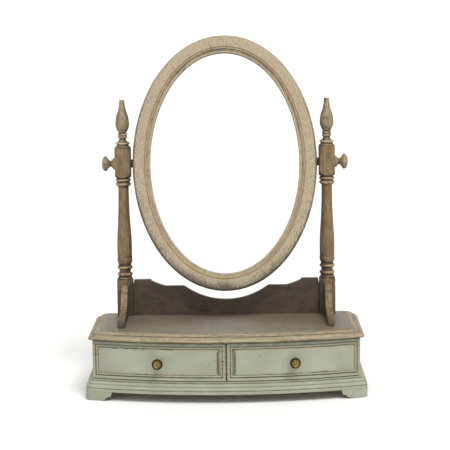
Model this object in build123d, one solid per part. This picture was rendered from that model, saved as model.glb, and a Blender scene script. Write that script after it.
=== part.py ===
from build123d import *
import os
from math import asin, cos, degrees, radians, sin, sqrt

# Dressing mirror: an oval mirror that tilts between two turned posts, on a bow-fronted
# box with two drawers.  Millimetres, +Z up, +X to the right, -Y to the front.  While the
# pieces are made, y = 0 is the back edge of the top board and z = 0 is the floor.

# ---- driving dimensions ------------------------------------------------------------

# box
bow_radius = 875.0          # outer face of the drawer fronts
front_reach = 259.0         # from the top's back edge to the middle of the drawer fronts
foot_height = 19.5
plinth_height = 24.5
carcase_height = 82.0
side_thickness = 15.0
bottom_thickness = 10.0
divider_thickness = 12.0
back_thickness = 6.0
back_setback = 2.0          # the carcase ends this far inside the top's back edge

# top
top_thickness = 19.0
top_overhang = 9.6          # tip of the edge moulding beyond the carcase
top_edge_width = 24.0       # width of the edge moulding in plan
top_edge_step = 1.0         # the moulding starts this far below the flat
top_margin = 26.6           # flat of the top outside each post

# plinth and feet
plinth_projection = 16.5
plinth_fascia_height = 6.5
plinth_inner_lip = 8.0      # the plinth reaches this far under the carcase
plinth_fillet = 3.5         # width and height of the plinth's top fillet
foot_length = 57.0
foot_thickness = 20.0
glue_block_size = 22.0
glue_block_height = 16.0

# drawers
front_thickness = 20.0
front_gap = 0.5             # between a closed drawer front and the carcase behind it
front_top_gap = 1.0
front_bottom_gap = 1.5
front_middle_gap = 2.8
beading_width = 12.4
beading_depth = 4.0
field_quirk = 1.0           # groove between the beading and the raised field
drawer_side_thickness = 9.0
drawer_headroom = 13.4      # between the drawer sides and the top
drawer_side_clearance = 0.8
drawer_lift = 0.6           # running clearance under the drawer
drawer_bottom_thickness = 4.0
drawer_bottom_rise = 5.0    # underside of the bottom above the sides' lower edge
groove_depth = 4.0
groove_clearance = 0.2
drawer_back_clearance = 2.0
drawer_knob_diameter = 23.0
drawer_knob_projection = 20.0
drawer_knob_drop = 1.5      # below the middle of the drawer front
drawer_screw_diameter = 4.0

# posts and finials
mirror_gap = 4.0            # between the frame's edge and a post, where the washer sits
block_width = 35.0
post_setback = 3.5          # back of the posts from the top's back edge
lower_block_height = 86.0
block_below_pivot = 29.5
block_above_pivot = 37.5
block_shoulder = 9.5
post_neck_rise = 4.5        # the turned neck above the upper block
shaft_bottom = 115.0
shaft_belly = 131.0
shaft_top_drop = 24.5       # top of the shaft below the upper block
finial_height = 99.0
finial_spigot_diameter = 10.0
finial_spigot_length = 18.0

# brackets and back board
bracket_thickness = 14.0
bracket_toe_setback = 36.4  # toe from the front edge of the top's flat
bracket_height = 71.0
bracket_toe = 18.0
back_board_thickness = 12.0
back_board_end_height = 80.0
back_board_shoulder_height = 65.0
back_board_dip_height = 33.5
back_board_dip_width = 186.0
back_board_cove_start = 167.0
back_board_cove_end = 134.0

# mirror
sight_width = 329.0
sight_height = 489.0
mirror_clearance = 22.5     # between the upright frame and the back board's dip
frame_width = 39.0
frame_thickness = 22.0
frame_inner_band = 13.0     # width of the moulded inner edge
glass_depth = 10.0          # front of the glass behind the frame's face
glass_thickness = 4.0
backing_thickness = 4.0
rebate_width = 8.0
rebate_clearance = 1.5
mirror_rest_tilt = 12.0     # degrees, top to the back
washer_diameter = 18.0
washer_play = 0.3

# pivots
bolt_diameter = 6.0
bolt_clearance = 0.1        # radial, where a bolt passes through a post
insert_clearance = 0.05     # radial, where a bolt runs in its insert
insert_diameter = 10.0
insert_length = 15.0
knob_projection = 28.7
knob_head_diameter = 34.0
knob_collar_diameter = 26.0
knob_play = 0.3             # between a knob's collar and its post
bolt_in_knob = 16.0

# screws and dowels
screw_diameter = 4.0
screw_head_diameter = 8.0
screw_head_height = 2.4
long_screw_length = 45.0
backing_screw_diameter = 2.5
backing_screw_length = 9.0
backing_screw_count = 8
dowel_diameter = 6.0
dowel_length = 24.0

# ---- places worked out from them ---------------------------------------------------

carcase_bottom_z = foot_height + plinth_height
carcase_top_z = carcase_bottom_z + carcase_height
top_z = carcase_top_z + top_thickness
frame_half_width = sight_width / 2 + frame_width
frame_half_height = sight_height / 2 + frame_width
post_x = frame_half_width + mirror_gap + block_width / 2
block_inner_x = post_x - block_width / 2
block_outer_x = post_x + block_width / 2
half_width = block_outer_x + top_margin + top_edge_width - top_overhang
bow_centre_y = bow_radius - front_reach
carcase_back_y = -back_setback
carcase_front_radius = bow_radius - front_thickness - front_gap

post_y = -post_setback - block_width / 2
block_front_y = post_y - block_width / 2
flat_radius = bow_radius + top_overhang - top_edge_width
bracket_room = block_front_y - bow_centre_y + sqrt(flat_radius**2 - post_x**2)
bracket_length = bracket_room - bracket_toe_setback

# heights above the top
pivot_height = frame_half_height + back_board_dip_height + mirror_clearance
upper_block_bottom = pivot_height - block_below_pivot
upper_block_top = pivot_height + block_above_pivot
post_height = upper_block_top + post_neck_rise
shaft_top = upper_block_bottom - shaft_top_drop
pivot_z = top_z + pivot_height

drawer_side_height = carcase_height - bottom_thickness - drawer_lift - drawer_headroom
bow_corner_angle = degrees(asin(half_width / bow_radius))
corner_y = bow_centre_y - sqrt(bow_radius**2 - half_width**2)
mitre_angle = (90.0 + bow_corner_angle) / 2   # direction of the corner's mitre, from -Y

parts = {}


# ---- helpers -----------------------------------------------------------------------

def block(x0, x1, y0, y1, z0, z1):
    """A box between two corners."""
    return Pos((x0 + x1) / 2, (y0 + y1) / 2, (z0 + z1) / 2) * Box(x1 - x0, y1 - y0, z1 - z0)


def bow_disc(radius, z0, z1):
    """An upright cylinder about the bow's centre."""
    return Pos(0, bow_centre_y, (z0 + z1) / 2) * Cylinder(radius, z1 - z0)


def on_the_right(shape):
    """The same shape on the other side of the middle."""
    return mirror(shape, about=Plane.YZ)


def outline(*edges):
    """A flat face from edges that follow each other; the last point closes to the first."""
    line = Wire(edges)
    return make_face(line.edges() + [Line(line @ 1, line @ 0)])


def bow_section_plane(angle):
    """Plane of a moulding's section across the bow, at an angle from the middle."""
    outward = Vector(sin(radians(angle)), -cos(radians(angle)), 0)
    origin = Vector(0, bow_centre_y, 0) + outward * bow_radius
    return Plane(origin=origin, x_dir=outward, z_dir=outward.cross(Vector(0, 0, 1)))


def run_along_bow(section, half_angle):
    """A moulding along the bow: its section turned about the bow's centre."""
    start = bow_section_plane(-half_angle) * section
    return revolve(start, Axis((0, bow_centre_y, 0), (0, 0, 1)), 2 * half_angle)


def run_along_left(section, y0, y1):
    """A moulding along the left side of the carcase, from y0 to y1."""
    start = Plane(origin=(-half_width, y0, 0), x_dir=(-1, 0, 0), z_dir=(0, 1, 0)) * section
    return extrude(start, y1 - y0)


def left_corner_turn(section, from_angle, to_angle):
    """A moulding that turns round the carcase's left front corner; angles from -Y."""
    outward = Vector(-sin(radians(to_angle)), -cos(radians(to_angle)), 0)
    corner = Vector(-half_width, corner_y, 0)
    plane = Plane(origin=corner, x_dir=outward, z_dir=outward.cross(Vector(0, 0, 1)))
    return revolve(plane * section, Axis((corner.X, corner.Y, 0), (0, 0, 1)), to_angle - from_angle)


def left_mitre_plane():
    """Upright plane through the left front corner; its front is the bow's side."""
    normal = (cos(radians(mitre_angle)), -sin(radians(mitre_angle)), 0)
    return Plane(origin=(-half_width, corner_y, 0), z_dir=normal)


def front_of_mitres(shape):
    """What lies between the two front corners' mitres."""
    kept = split(shape, bisect_by=left_mitre_plane(), keep=Keep.TOP)
    kept = split(on_the_right(kept), bisect_by=left_mitre_plane(), keep=Keep.TOP)
    return on_the_right(kept)


def behind_left_mitre(shape):
    return split(shape, bisect_by=left_mitre_plane(), keep=Keep.BOTTOM)


def wood_screw(length):
    """A countersunk screw along +Z, its head's face at z = 0."""
    head = Pos(0, 0, screw_head_height / 2) * Cone(
        screw_head_diameter / 2, screw_diameter / 2, screw_head_height)
    shank = Pos(0, 0, length / 2) * Cylinder(screw_diameter / 2, length)
    return head + shank


def turned(profile, centre=(0, 0)):
    """A solid turned about an upright axis from (radius, height) points and curves."""
    section = Plane.XZ * profile
    return Pos(centre[0], centre[1], 0) * revolve(section, Axis.Z)


def turning_outline(start, steps):
    """
    Half section of a turning, from the axis out, up and back to the axis.  Each step is
    (radius, height, bulge): a line if the bulge is 0, or else an arc that bulges out by
    that much, or in if it is negative.  A step to radius 0 is a dome.
    """
    edges = [Line((0, start[1]), start)]
    here = Vector(*start)
    for radius, height, bulge in steps:
        there = Vector(radius, height)
        if radius == 0:
            edges.append(dome_arc(here, height))
        elif bulge:
            across = (there - here).rotate(Axis.Z, -90).normalized()
            edges.append(ThreePointArc(here, (here + there) / 2 + across * bulge, there))
        else:
            edges.append(Line(here, there))
        here = there
    if here.X > 0:
        edges.append(Line(here, (0, here.Y)))
    return make_face(edges + [Line((0, here.Y), (0, start[1]))])


def dome_arc(rim, height):
    """Arc from a rim to the axis at a height, with its centre on the axis."""
    centre = (height**2 - rim.Y**2 - rim.X**2) / (2 * (height - rim.Y))
    radius = height - centre
    half = asin(min(rim.X / radius, 1.0)) / 2
    return ThreePointArc(rim, (radius * sin(half), centre + radius * cos(half)), (0, height))


# ---- top ---------------------------------------------------------------------------

def top_edge_section():
    """
    Edge moulding, u outward from the carcase and z up: a small step below the flat, a
    flat ovolo, a quirk and a rounded nosing that returns under.
    """
    inner = top_overhang - top_edge_width
    step_z = top_z - top_edge_step
    quirk = (inner + 0.54 * top_edge_width, top_z - 0.25 * top_thickness)
    tip = (top_overhang, top_z - 0.66 * top_thickness)
    under = (tip[0] - 5.0, tip[1] - 0.26 * top_thickness)
    return outline(
        Line((inner, carcase_top_z), (inner, step_z)),
        Line((inner, step_z), (inner + 2.5, step_z)),
        ThreePointArc((inner + 2.5, step_z), (quirk[0] - 4.6, quirk[1] + 2.2), quirk),
        Line(quirk, (quirk[0], quirk[1] - 1.0)),
        ThreePointArc((quirk[0], quirk[1] - 1.0), (tip[0] - 3.6, tip[1] + 4.6), tip),
        ThreePointArc(tip, (tip[0] - 1.4, tip[1] - 3.4), under),
        Line(under, (0, carcase_top_z)),
    )


def make_top():
    flat_half_width = half_width + top_overhang - top_edge_width
    panel = block(-flat_half_width, flat_half_width, -front_reach, 0, carcase_top_z, top_z)
    parts["top_panel"] = panel & bow_disc(flat_radius, carcase_top_z, top_z)

    section = top_edge_section()
    past_corner = 2 * top_edge_width
    half_angle = degrees(asin((half_width + past_corner) / bow_radius))
    parts["top_moulding_front"] = front_of_mitres(run_along_bow(section, half_angle))
    side = run_along_left(section, corner_y - past_corner, 0)
    parts["top_moulding_left"] = behind_left_mitre(side)
    parts["top_moulding_right"] = on_the_right(parts["top_moulding_left"])


# ---- carcase -----------------------------------------------------------------------

def make_carcase():
    inside = half_width - side_thickness
    front_limit = bow_disc(carcase_front_radius, carcase_bottom_z, carcase_top_z)
    side = block(-half_width, -inside, -front_reach, carcase_back_y,
                 carcase_bottom_z, carcase_top_z) & front_limit
    parts["left_side_panel"] = side
    parts["right_side_panel"] = on_the_right(side)

    back_front_y = carcase_back_y - back_thickness
    bottom_top_z = carcase_bottom_z + bottom_thickness
    parts["carcase_back"] = block(-inside, inside, back_front_y, carcase_back_y,
                                  carcase_bottom_z, carcase_top_z)
    parts["carcase_bottom"] = block(-inside, inside, -front_reach, back_front_y,
                                    carcase_bottom_z, bottom_top_z) & front_limit
    parts["centre_divider"] = block(-divider_thickness / 2, divider_thickness / 2,
                                    -front_reach, back_front_y,
                                    bottom_top_z, carcase_top_z) & front_limit


# ---- plinth and feet ---------------------------------------------------------------

def plinth_section():
    """Plinth, u outward and z up: fascia, ovolo, smaller ovolo, and a top fillet."""
    fascia_top = foot_height + plinth_fascia_height
    ovolo_height = (carcase_bottom_z - plinth_fillet - fascia_top) * 0.57
    lower = (plinth_projection - 6.5, fascia_top + ovolo_height)
    upper = (plinth_fillet + 1.0, carcase_bottom_z - plinth_fillet)
    fascia = plinth_projection
    middle = (upper[0] + 0.84 * (lower[0] - upper[0]), lower[1] + 0.8)
    return outline(
        Line((-plinth_inner_lip, foot_height), (fascia, foot_height)),
        Line((fascia, foot_height), (fascia, fascia_top)),
        Line((fascia, fascia_top), (fascia - 0.8, fascia_top + 0.6)),
        ThreePointArc((fascia - 0.8, fascia_top + 0.6), (fascia - 2.4, lower[1] - 2.4), lower),
        Line(lower, (middle[0], lower[1])),
        Line((middle[0], lower[1]), middle),
        ThreePointArc(middle, (middle[0] - 1.2, upper[1] - 1.6), upper),
        Line(upper, (plinth_fillet, upper[1])),
        Line((plinth_fillet, upper[1]), (plinth_fillet, carcase_bottom_z)),
        Line((plinth_fillet, carcase_bottom_z), (-plinth_inner_lip, carcase_bottom_z)),
    )


def outside_of_carcase(section):
    """The part of a section that stands out beyond the carcase's face."""
    reach = 2 * plinth_projection
    height = top_z
    return section & Pos(reach / 2, height / 2) * Rectangle(reach, height)


def make_plinth():
    section = plinth_section()
    outer = outside_of_carcase(section)
    straight = front_of_mitres(run_along_bow(section, bow_corner_angle))
    half_turn = left_corner_turn(outer, bow_corner_angle, mitre_angle)
    parts["plinth_front"] = straight + half_turn + on_the_right(half_turn)

    side = behind_left_mitre(run_along_left(section, corner_y, carcase_back_y))
    side += left_corner_turn(outer, mitre_angle, 90.0)
    parts["plinth_left"] = side
    parts["plinth_right"] = on_the_right(side)

    rail_half = half_width - plinth_inner_lip
    parts["plinth_back"] = block(-rail_half, rail_half, carcase_back_y - plinth_inner_lip,
                                 carcase_back_y, foot_height, carcase_bottom_z)


def foot_cut():
    """Outline taken off a foot's inner end: a short drop, a step and a slope to the floor."""
    top = foot_height
    return outline(
        Line((0, top), (-1.6, 0.72 * top)),
        Line((-1.6, 0.72 * top), (-3.0, 0.5 * top)),
        Line((-3.0, 0.5 * top), (-8.5, 0.46 * top)),
        ThreePointArc((-8.5, 0.46 * top), (-12.5, 0.3 * top), (-18.0, 0)),
        Line((-18.0, 0), (top, -1)),
        Line((top, -1), (top, top)),
    )


def make_feet():
    section = Pos(plinth_projection - foot_thickness / 2, foot_height / 2) * Rectangle(
        foot_thickness, foot_height)
    outer = outside_of_carcase(section)
    outer_x = half_width + plinth_projection
    reach = 2 * foot_length
    cut = foot_cut()

    front = run_along_bow(section, bow_corner_angle)
    front &= block(-outer_x, foot_length - outer_x, -2 * front_reach, 0, 0, foot_height)
    end = Plane(origin=(foot_length - outer_x, 0, 0), x_dir=(1, 0, 0), z_dir=(0, -1, 0))
    front -= extrude(end * cut, 2 * front_reach)
    front_end_y = corner_y - plinth_projection
    side = run_along_left(section, corner_y, front_end_y + foot_length)
    end = Plane(origin=(-outer_x - reach, front_end_y + foot_length, 0),
                x_dir=(0, 1, 0), z_dir=(1, 0, 0))
    side -= extrude(end * cut, 2 * reach)
    foot = front + side + left_corner_turn(outer, bow_corner_angle, 90.0)
    parts["front_left_foot"] = foot
    parts["front_right_foot"] = on_the_right(foot)

    back = run_along_left(section, carcase_back_y - foot_length, carcase_back_y)
    end = Plane(origin=(-outer_x - reach, carcase_back_y - foot_length, 0),
                x_dir=(0, -1, 0), z_dir=(-1, 0, 0))
    back -= extrude(end * cut, -2 * reach)
    parts["back_left_foot"] = back
    parts["back_right_foot"] = on_the_right(back)


def make_glue_blocks():
    """Triangular blocks in the corners under the carcase, behind the plinth."""
    inner_x = half_width - plinth_inner_lip
    z0 = carcase_bottom_z - glue_block_height
    back_y = carcase_back_y - plinth_inner_lip
    corner = outline(Line((0, 0), (glue_block_size, 0)),
                     Line((glue_block_size, 0), (0, -glue_block_size)))
    back_left = Pos(-inner_x, back_y, z0) * extrude(corner, glue_block_height)
    rear_limit = corner_y + glue_block_size
    front_left = block(-inner_x, glue_block_size - inner_x, corner_y, rear_limit,
                       z0, carcase_bottom_z)
    front_left &= bow_disc(bow_radius - plinth_inner_lip, z0, carcase_bottom_z)
    blocks = [back_left, front_left]
    parts["plinth_glue_blocks"] = blocks + [on_the_right(b) for b in blocks]


# ---- drawers -----------------------------------------------------------------------

def bow_outward(angle):
    """Direction out of the bow at an angle from its middle."""
    return Vector(sin(radians(angle)), -cos(radians(angle)), 0)


def bow_tangent(angle):
    """Direction along the bow, to the right."""
    return Vector(cos(radians(angle)), sin(radians(angle)), 0)


def bow_point(radius, angle, z):
    return Vector(0, bow_centre_y, z) + bow_outward(angle) * radius


def beading_section():
    """
    Beading round a drawer front, u inward from the front's edge and v out of its rebate:
    a flat band, a quirk and a round bead.
    """
    band_end = 0.48 * beading_width
    bead_start = band_end + 0.9
    bead_radius = (beading_width - bead_start) / 2
    bead_v = beading_depth - bead_radius + 0.3
    quirk_v = bead_v - 0.6
    band_v = beading_depth - 0.4
    return outline(
        Line((0, 0), (0, band_v)),
        Line((0, band_v), (0.6, beading_depth)),
        Line((0.6, beading_depth), (band_end, band_v)),
        Line((band_end, band_v), (band_end, quirk_v)),
        Line((band_end, quirk_v), (bead_start, quirk_v)),
        Line((bead_start, quirk_v), (bead_start, bead_v)),
        ThreePointArc((bead_start, bead_v), (bead_start + bead_radius, bead_v + bead_radius),
                      (beading_width, bead_v)),
        Line((beading_width, bead_v), (beading_width, 0)),
    )


def beading_strips(x0, x1, z0, z1):
    """Four strips round a drawer front between x0 and x1, z0 and z1, mitred at its corners."""
    section = beading_section()
    floor = bow_radius - beading_depth
    up = Vector(0, 0, 1)
    ends = [(degrees(asin(x0 / floor)), 1), (degrees(asin(x1 / floor)), -1)]
    edges = [(z0, 1), (z1, -1)]
    past = 1.0          # degrees; the level strips run on past the mitres before they are cut
    strips = []
    for z, inward in edges:
        start = ends[0][0] - past
        plane = Plane(origin=bow_point(floor, start, z), x_dir=up * inward,
                      z_dir=(up * inward).cross(bow_outward(start)))
        strip = revolve(plane * section, Axis((0, bow_centre_y, 0), (0, 0, 1)),
                        ends[1][0] + past - start)
        for angle, along in ends:
            side = bow_tangent(angle) * along - up * inward
            strip = split(strip, Plane(origin=bow_point(floor, angle, z), z_dir=side), keep=Keep.TOP)
        strips.append(strip)
    for angle, along in ends:
        inward = bow_tangent(angle) * along
        plane = Plane(origin=bow_point(floor, angle, z0), x_dir=inward,
                      z_dir=inward.cross(bow_outward(angle)))
        strip = extrude(plane * section, z1 - z0, dir=(0, 0, 1))
        for z, upward in edges:
            side = up * upward - inward
            strip = split(strip, Plane(origin=bow_point(floor, angle, z), z_dir=side), keep=Keep.TOP)
        strips.append(strip)
    return strips


def drawer_knob():
    """Cast brass knob on +Z: a flange, a waisted neck and a dished head with a button."""
    rim = drawer_knob_diameter / 2
    height = drawer_knob_projection
    return turned(turning_outline((7.0, 0), [
        (7.0, 1.2, 0),
        (4.2, 3.0, -0.6),
        (4.4, 0.42 * height, -0.3),
        (rim, 0.76 * height, -2.2),
        (0.78 * rim, height - 1.5, 1.6),
        (0.62 * rim, height - 3.1, 0),
        (0.28 * rim, height - 3.6, -0.4),
        (0.24 * rim, height - 1.6, 0),
        (0, height - 0.9, 0),
    ]))


def knob_screw():
    """Pan-head machine screw along +Z; its head is below z = 0."""
    head = Pos(0, 0, -1.3) * Cylinder(drawer_screw_diameter, 2.6)
    length = front_thickness + 0.5 * drawer_knob_projection
    return head + Pos(0, 0, length / 2) * Cylinder(drawer_screw_diameter / 2, length)


def make_left_drawer():
    """The left drawer's pieces by name; the right drawer is the same, mirrored."""
    x0, x1 = -half_width, -front_middle_gap / 2
    z0, z1 = carcase_bottom_z + front_bottom_gap, carcase_top_z - front_top_gap
    inner_radius = bow_radius - front_thickness
    rebate = beading_width + field_quirk

    front = block(x0, x1, -2 * front_reach, 0, z0, z1)
    front &= bow_disc(bow_radius - beading_depth, z0, z1) - bow_disc(inner_radius, z0, z1)
    outer_rebate = rebate * cos(radians(bow_corner_angle))
    field = block(x0 + outer_rebate, x1 - rebate, -2 * front_reach, 0, z0 + rebate, z1 - rebate)
    front += field & (bow_disc(bow_radius, z0, z1) - bow_disc(inner_radius, z0, z1))

    inside = half_width - side_thickness
    box_x0 = -inside + drawer_side_clearance
    box_x1 = -divider_thickness / 2 - drawer_side_clearance
    box_z0 = carcase_bottom_z + bottom_thickness + drawer_lift
    box_z1 = box_z0 + drawer_side_height
    back_y = carcase_back_y - back_thickness - drawer_back_clearance
    behind_front = bow_disc(inner_radius, z0, z1)
    thickness = drawer_side_thickness
    outer_side = block(box_x0, box_x0 + thickness, -front_reach, back_y, box_z0, box_z1)
    inner_side = block(box_x1 - thickness, box_x1, -front_reach, back_y, box_z0, box_z1)
    outer_side &= behind_front
    inner_side &= behind_front
    panel_z0 = box_z0 + drawer_bottom_rise
    panel_z1 = panel_z0 + drawer_bottom_thickness
    back = block(box_x0 + thickness, box_x1 - thickness, back_y - thickness, back_y,
                 panel_z1, box_z1)

    def bottom_panel(grow):
        reach = groove_depth - groove_clearance + grow
        panel = block(box_x0 + thickness - reach, box_x1 - thickness + reach,
                      -front_reach, back_y, panel_z0, panel_z1)
        return panel & bow_disc(inner_radius + reach, panel_z0, panel_z1)

    groove = bottom_panel(groove_clearance)
    angle = degrees(asin((x0 + x1) / 2 / bow_radius))
    knob_z = (z0 + z1) / 2 - drawer_knob_drop
    outside = Plane(origin=bow_point(bow_radius, angle, knob_z), z_dir=bow_outward(angle))
    inside_face = Plane(origin=bow_point(inner_radius, angle, knob_z), z_dir=bow_outward(angle))
    screw = inside_face * knob_screw()
    return {
        "drawer_front": front - groove - screw,
        "drawer_beading": beading_strips(x0, x1, z0, z1),
        "drawer_outer_side": outer_side - groove,
        "drawer_inner_side": inner_side - groove,
        "drawer_back": back,
        "drawer_bottom": bottom_panel(0),
        "drawer_knob": outside * drawer_knob() - screw,
        "drawer_knob_screw": screw,
    }


def make_drawers():
    for name, piece in make_left_drawer().items():
        pieces = piece if isinstance(piece, list) else [piece]
        parts["left_" + name] = pieces
        parts["right_" + name] = [on_the_right(p) for p in pieces]


# ---- posts, finials, brackets and back board ---------------------------------------

def left_post():
    """Turned post on its centre line, z = 0 at its foot, with two square blocks."""
    corner = 0.72 * block_width     # the blocks' corners stay square
    neck = 0.46 * block_width
    ring = 0.485 * block_width
    shoulder_top = upper_block_top - block_shoulder
    shoulder_bottom = upper_block_bottom + block_shoulder
    profile = turning_outline((corner, 0), [
        (corner, lower_block_height - block_shoulder, 0),
        (neck, lower_block_height, 2.6),
        (0.43 * block_width, lower_block_height + 3.0, 0),
        (0.43 * block_width, lower_block_height + 10.5, ring - 0.43 * block_width),
        (0.375 * block_width, lower_block_height + 15.0, -1.5),
        (0.42 * block_width, lower_block_height + 18.5, -0.6),
        (0.42 * block_width, lower_block_height + 26.0, ring - 0.43 * block_width),
        (0.40 * block_width, shaft_bottom, 0),
        (ring - 0.9, shaft_belly, 1.6),
        (0.43 * block_width, shaft_belly + 58.0, 0.8),
        (0.33 * block_width, shaft_top, -0.9),
        (0.375 * block_width, shaft_top + 4.5, -0.5),
        (0.42 * block_width, shaft_top + 5.0, 0),
        (0.42 * block_width, shaft_top + 12.5, ring - 0.425 * block_width),
        (0.42 * block_width, shaft_top + 14.0, 0),
        (0.44 * block_width, upper_block_bottom - 2.5, ring - 0.42 * block_width),
        (neck, upper_block_bottom, 0),
        (corner, shoulder_bottom, 2.6),
        (corner, shoulder_top, 0),
        (neck, upper_block_top, 2.6),
        (0.40 * block_width, upper_block_top + 1.0, 0),
        (0.40 * block_width, post_height, 0),
    ])
    return turned(profile) & Pos(0, 0, post_height / 2) * Box(block_width, block_width, post_height)


def left_finial():
    """Finial on its centre line, z = 0 on the post's top: disc, neck, beads and a bud."""
    spigot = finial_spigot_diameter / 2
    ring = 0.274 * block_width
    bud = 0.437 * block_width
    return turned(turning_outline((spigot, -finial_spigot_length), [
        (spigot, 0, 0),
        (0.40 * block_width, 0, 0),
        (0.40 * block_width, 1.2, 0),
        (0.457 * block_width, 2.0, 0),
        (0.455 * block_width, 3.8, 0),
        (0.214 * block_width, 12.2, -1.5),
        (ring, 14.0, 0),
        (ring, 18.6, 1.0),
        (0.249 * block_width, 19.3, 0),
        (ring, 20.2, 0),
        (ring, 24.4, 1.0),
        (0.24 * block_width, 26.8, 0),
        (bud, 44.5, 1.6),
        (0.346 * block_width, 65.8, 0.8),
        (0.203 * block_width, 84.0, -0.7),
        (0.163 * block_width, finial_height - 2.5, 0),
        (0, finial_height, 0),
    ]))


def bracket():
    """Shaped board in front of a post; it lies along Y with its back at y = 0."""
    height = bracket_height
    length = bracket_length
    crest = 0.17 * length
    side = outline(
        Line((0, 0), (0, height)),
        Line((0, height), (-0.05 * length, height)),
        ThreePointArc((-0.05 * length, height), (-0.13 * length, 0.94 * height),
                      (-crest, 0.8 * height)),
        ThreePointArc((-crest, 0.8 * height), (-0.35 * length, 0.46 * height),
                      (-0.78 * length, bracket_toe + 1.0)),
        Line((-0.78 * length, bracket_toe + 1.0), (-length, bracket_toe)),
        Line((-length, bracket_toe), (-length, 0)),
    )
    plane = Plane(origin=(-bracket_thickness / 2, 0, 0), x_dir=(0, 1, 0), z_dir=(1, 0, 0))
    return extrude(plane * side, bracket_thickness, dir=(1, 0, 0))


def back_board():
    """Scalloped board between the posts: raised ends, coves, shoulders and a long dip."""
    end_x = block_inner_x
    dip_x = back_board_dip_width / 2
    end_z = back_board_end_height
    shoulder_z = back_board_shoulder_height
    cove_middle = (back_board_cove_end + 0.36 * (back_board_cove_start - back_board_cove_end),
                   shoulder_z + 0.22 * (end_z - shoulder_z))
    half = outline(
        Line((0, 0), (end_x, 0)),
        Line((end_x, 0), (end_x, end_z)),
        Line((end_x, end_z), (back_board_cove_start, end_z)),
        Line((back_board_cove_start, end_z), (back_board_cove_start, end_z - 2.5)),
        ThreePointArc((back_board_cove_start, end_z - 2.5), cove_middle,
                      (back_board_cove_end, shoulder_z)),
        Line((back_board_cove_end, shoulder_z), (dip_x + 4.0, shoulder_z)),
        ThreePointArc((dip_x + 4.0, shoulder_z), (dip_x, shoulder_z - 0.8),
                      (dip_x - 3.0, shoulder_z - 2.6)),
        dip_arc(dip_x - 3.0, shoulder_z - 2.6),
    )
    board = extrude(Plane.XZ * half, back_board_thickness / 2, both=True)
    return board + on_the_right(board)


def dip_arc(x, z):
    """Circular arc from (x, z) down to the middle of the board's dip, level there."""
    rise = z - back_board_dip_height
    radius = (x**2 + rise**2) / (2 * rise)
    half_way = x / 2
    half_z = back_board_dip_height + radius - sqrt(radius**2 - half_way**2)
    return ThreePointArc((x, z), (half_way, half_z), (0, back_board_dip_height))


def make_stand():
    post = Pos(-post_x, post_y, top_z) * left_post()
    post -= Pos(-post_x, post_y, pivot_z) * Rot(0, 90, 0) * Cylinder(
        bolt_diameter / 2 + bolt_clearance, 2 * block_width)
    finial = Pos(-post_x, post_y, top_z + post_height) * left_finial()
    parts["left_post"] = post - finial
    parts["left_finial"] = finial
    parts["left_bracket"] = Pos(-post_x, block_front_y, top_z) * bracket()
    for name in ("post", "finial", "bracket"):
        parts["right_" + name] = on_the_right(parts["left_" + name])
    parts["back_board"] = Pos(0, post_y, top_z) * back_board()


def drive_screws():
    """Screws up through the top into the stand; each hole is the screw's own shape."""
    long_screw = wood_screw(long_screw_length)
    short_screw = wood_screw(top_thickness + 0.72 * bracket_toe)
    z = carcase_top_z
    quarter = block_width / 4
    post_places = [(-post_x - quarter, post_y), (-post_x + quarter, post_y)]
    bracket_places = [(-post_x, block_front_y - 0.25 * bracket_length),
                      (-post_x, block_front_y - 0.8 * bracket_length)]
    board_places = [(-0.55 * post_x, post_y)]
    for name, screw, places, piece in (
            ("post_screws", long_screw, post_places, "post"),
            ("bracket_screws", short_screw, bracket_places, "bracket"),
            ("back_board_screws", short_screw, board_places, "back_board")):
        left = [Pos(x, y, z) * screw for x, y in places]
        right = [on_the_right(s) for s in left]
        parts[name] = left + right
        for s in left + right:
            parts["top_panel"] -= s
        held = ((piece, left + right),) if piece == "back_board" else (
            ("left_" + piece, left), ("right_" + piece, right))
        for node, screws in held:
            for s in screws:
                parts[node] -= s


def drive_dowels():
    """Dowels between the side panels and the top's side mouldings."""
    x = -half_width + side_thickness / 2
    side_length = -corner_y - front_thickness
    places = [-side_length * share for share in (0.15, 0.5, 0.85)]
    dowel = Cylinder(dowel_diameter / 2, dowel_length)
    left = [Pos(x, y, carcase_top_z) * dowel for y in places]
    right = [on_the_right(d) for d in left]
    parts["top_dowels"] = left + right
    for side, dowels in (("left", left), ("right", right)):
        for d in dowels:
            parts[side + "_side_panel"] -= d
            parts["top_moulding_" + side] -= d


# ---- mirror ------------------------------------------------------------------------

def frame_section():
    """
    Section of the oval frame, u outward from the sight edge and v forward from the middle
    of its thickness: lip, cove, quirk, bead, step, flat face, rounded outer edge, rebate.
    """
    face = frame_thickness / 2
    rebate_v = face - glass_depth
    band = frame_inner_band
    lip_v = rebate_v + 3.0
    edge = 4.5
    return outline(
        Line((0, rebate_v), (0, lip_v - 0.6)),
        ThreePointArc((0, lip_v - 0.6), (0.25 * band, lip_v + 0.5), (0.4 * band, lip_v - 0.2)),
        ThreePointArc((0.4 * band, lip_v - 0.2), (0.56 * band, lip_v + 0.8), (0.64 * band, face - 3.6)),
        Line((0.64 * band, face - 3.6), (0.68 * band, face - 3.6)),
        ThreePointArc((0.68 * band, face - 3.6), (0.8 * band, face - 1.0), (0.95 * band, face - 2.0)),
        Line((0.95 * band, face - 2.0), (band, face - 2.0)),
        Line((band, face - 2.0), (band, face - 0.4)),
        Line((band, face - 0.4), (band + 0.8, face)),
        Line((band + 0.8, face), (frame_width - edge, face)),
        ThreePointArc((frame_width - edge, face), (frame_width - 0.29 * edge, face - 0.29 * edge),
                      (frame_width, face - edge)),
        Line((frame_width, face - edge), (frame_width, 2.0 - face)),
        Line((frame_width, 2.0 - face), (frame_width - 2.0, -face)),
        Line((frame_width - 2.0, -face), (rebate_width, -face)),
        Line((rebate_width, -face), (rebate_width, rebate_v)),
    )


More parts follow.
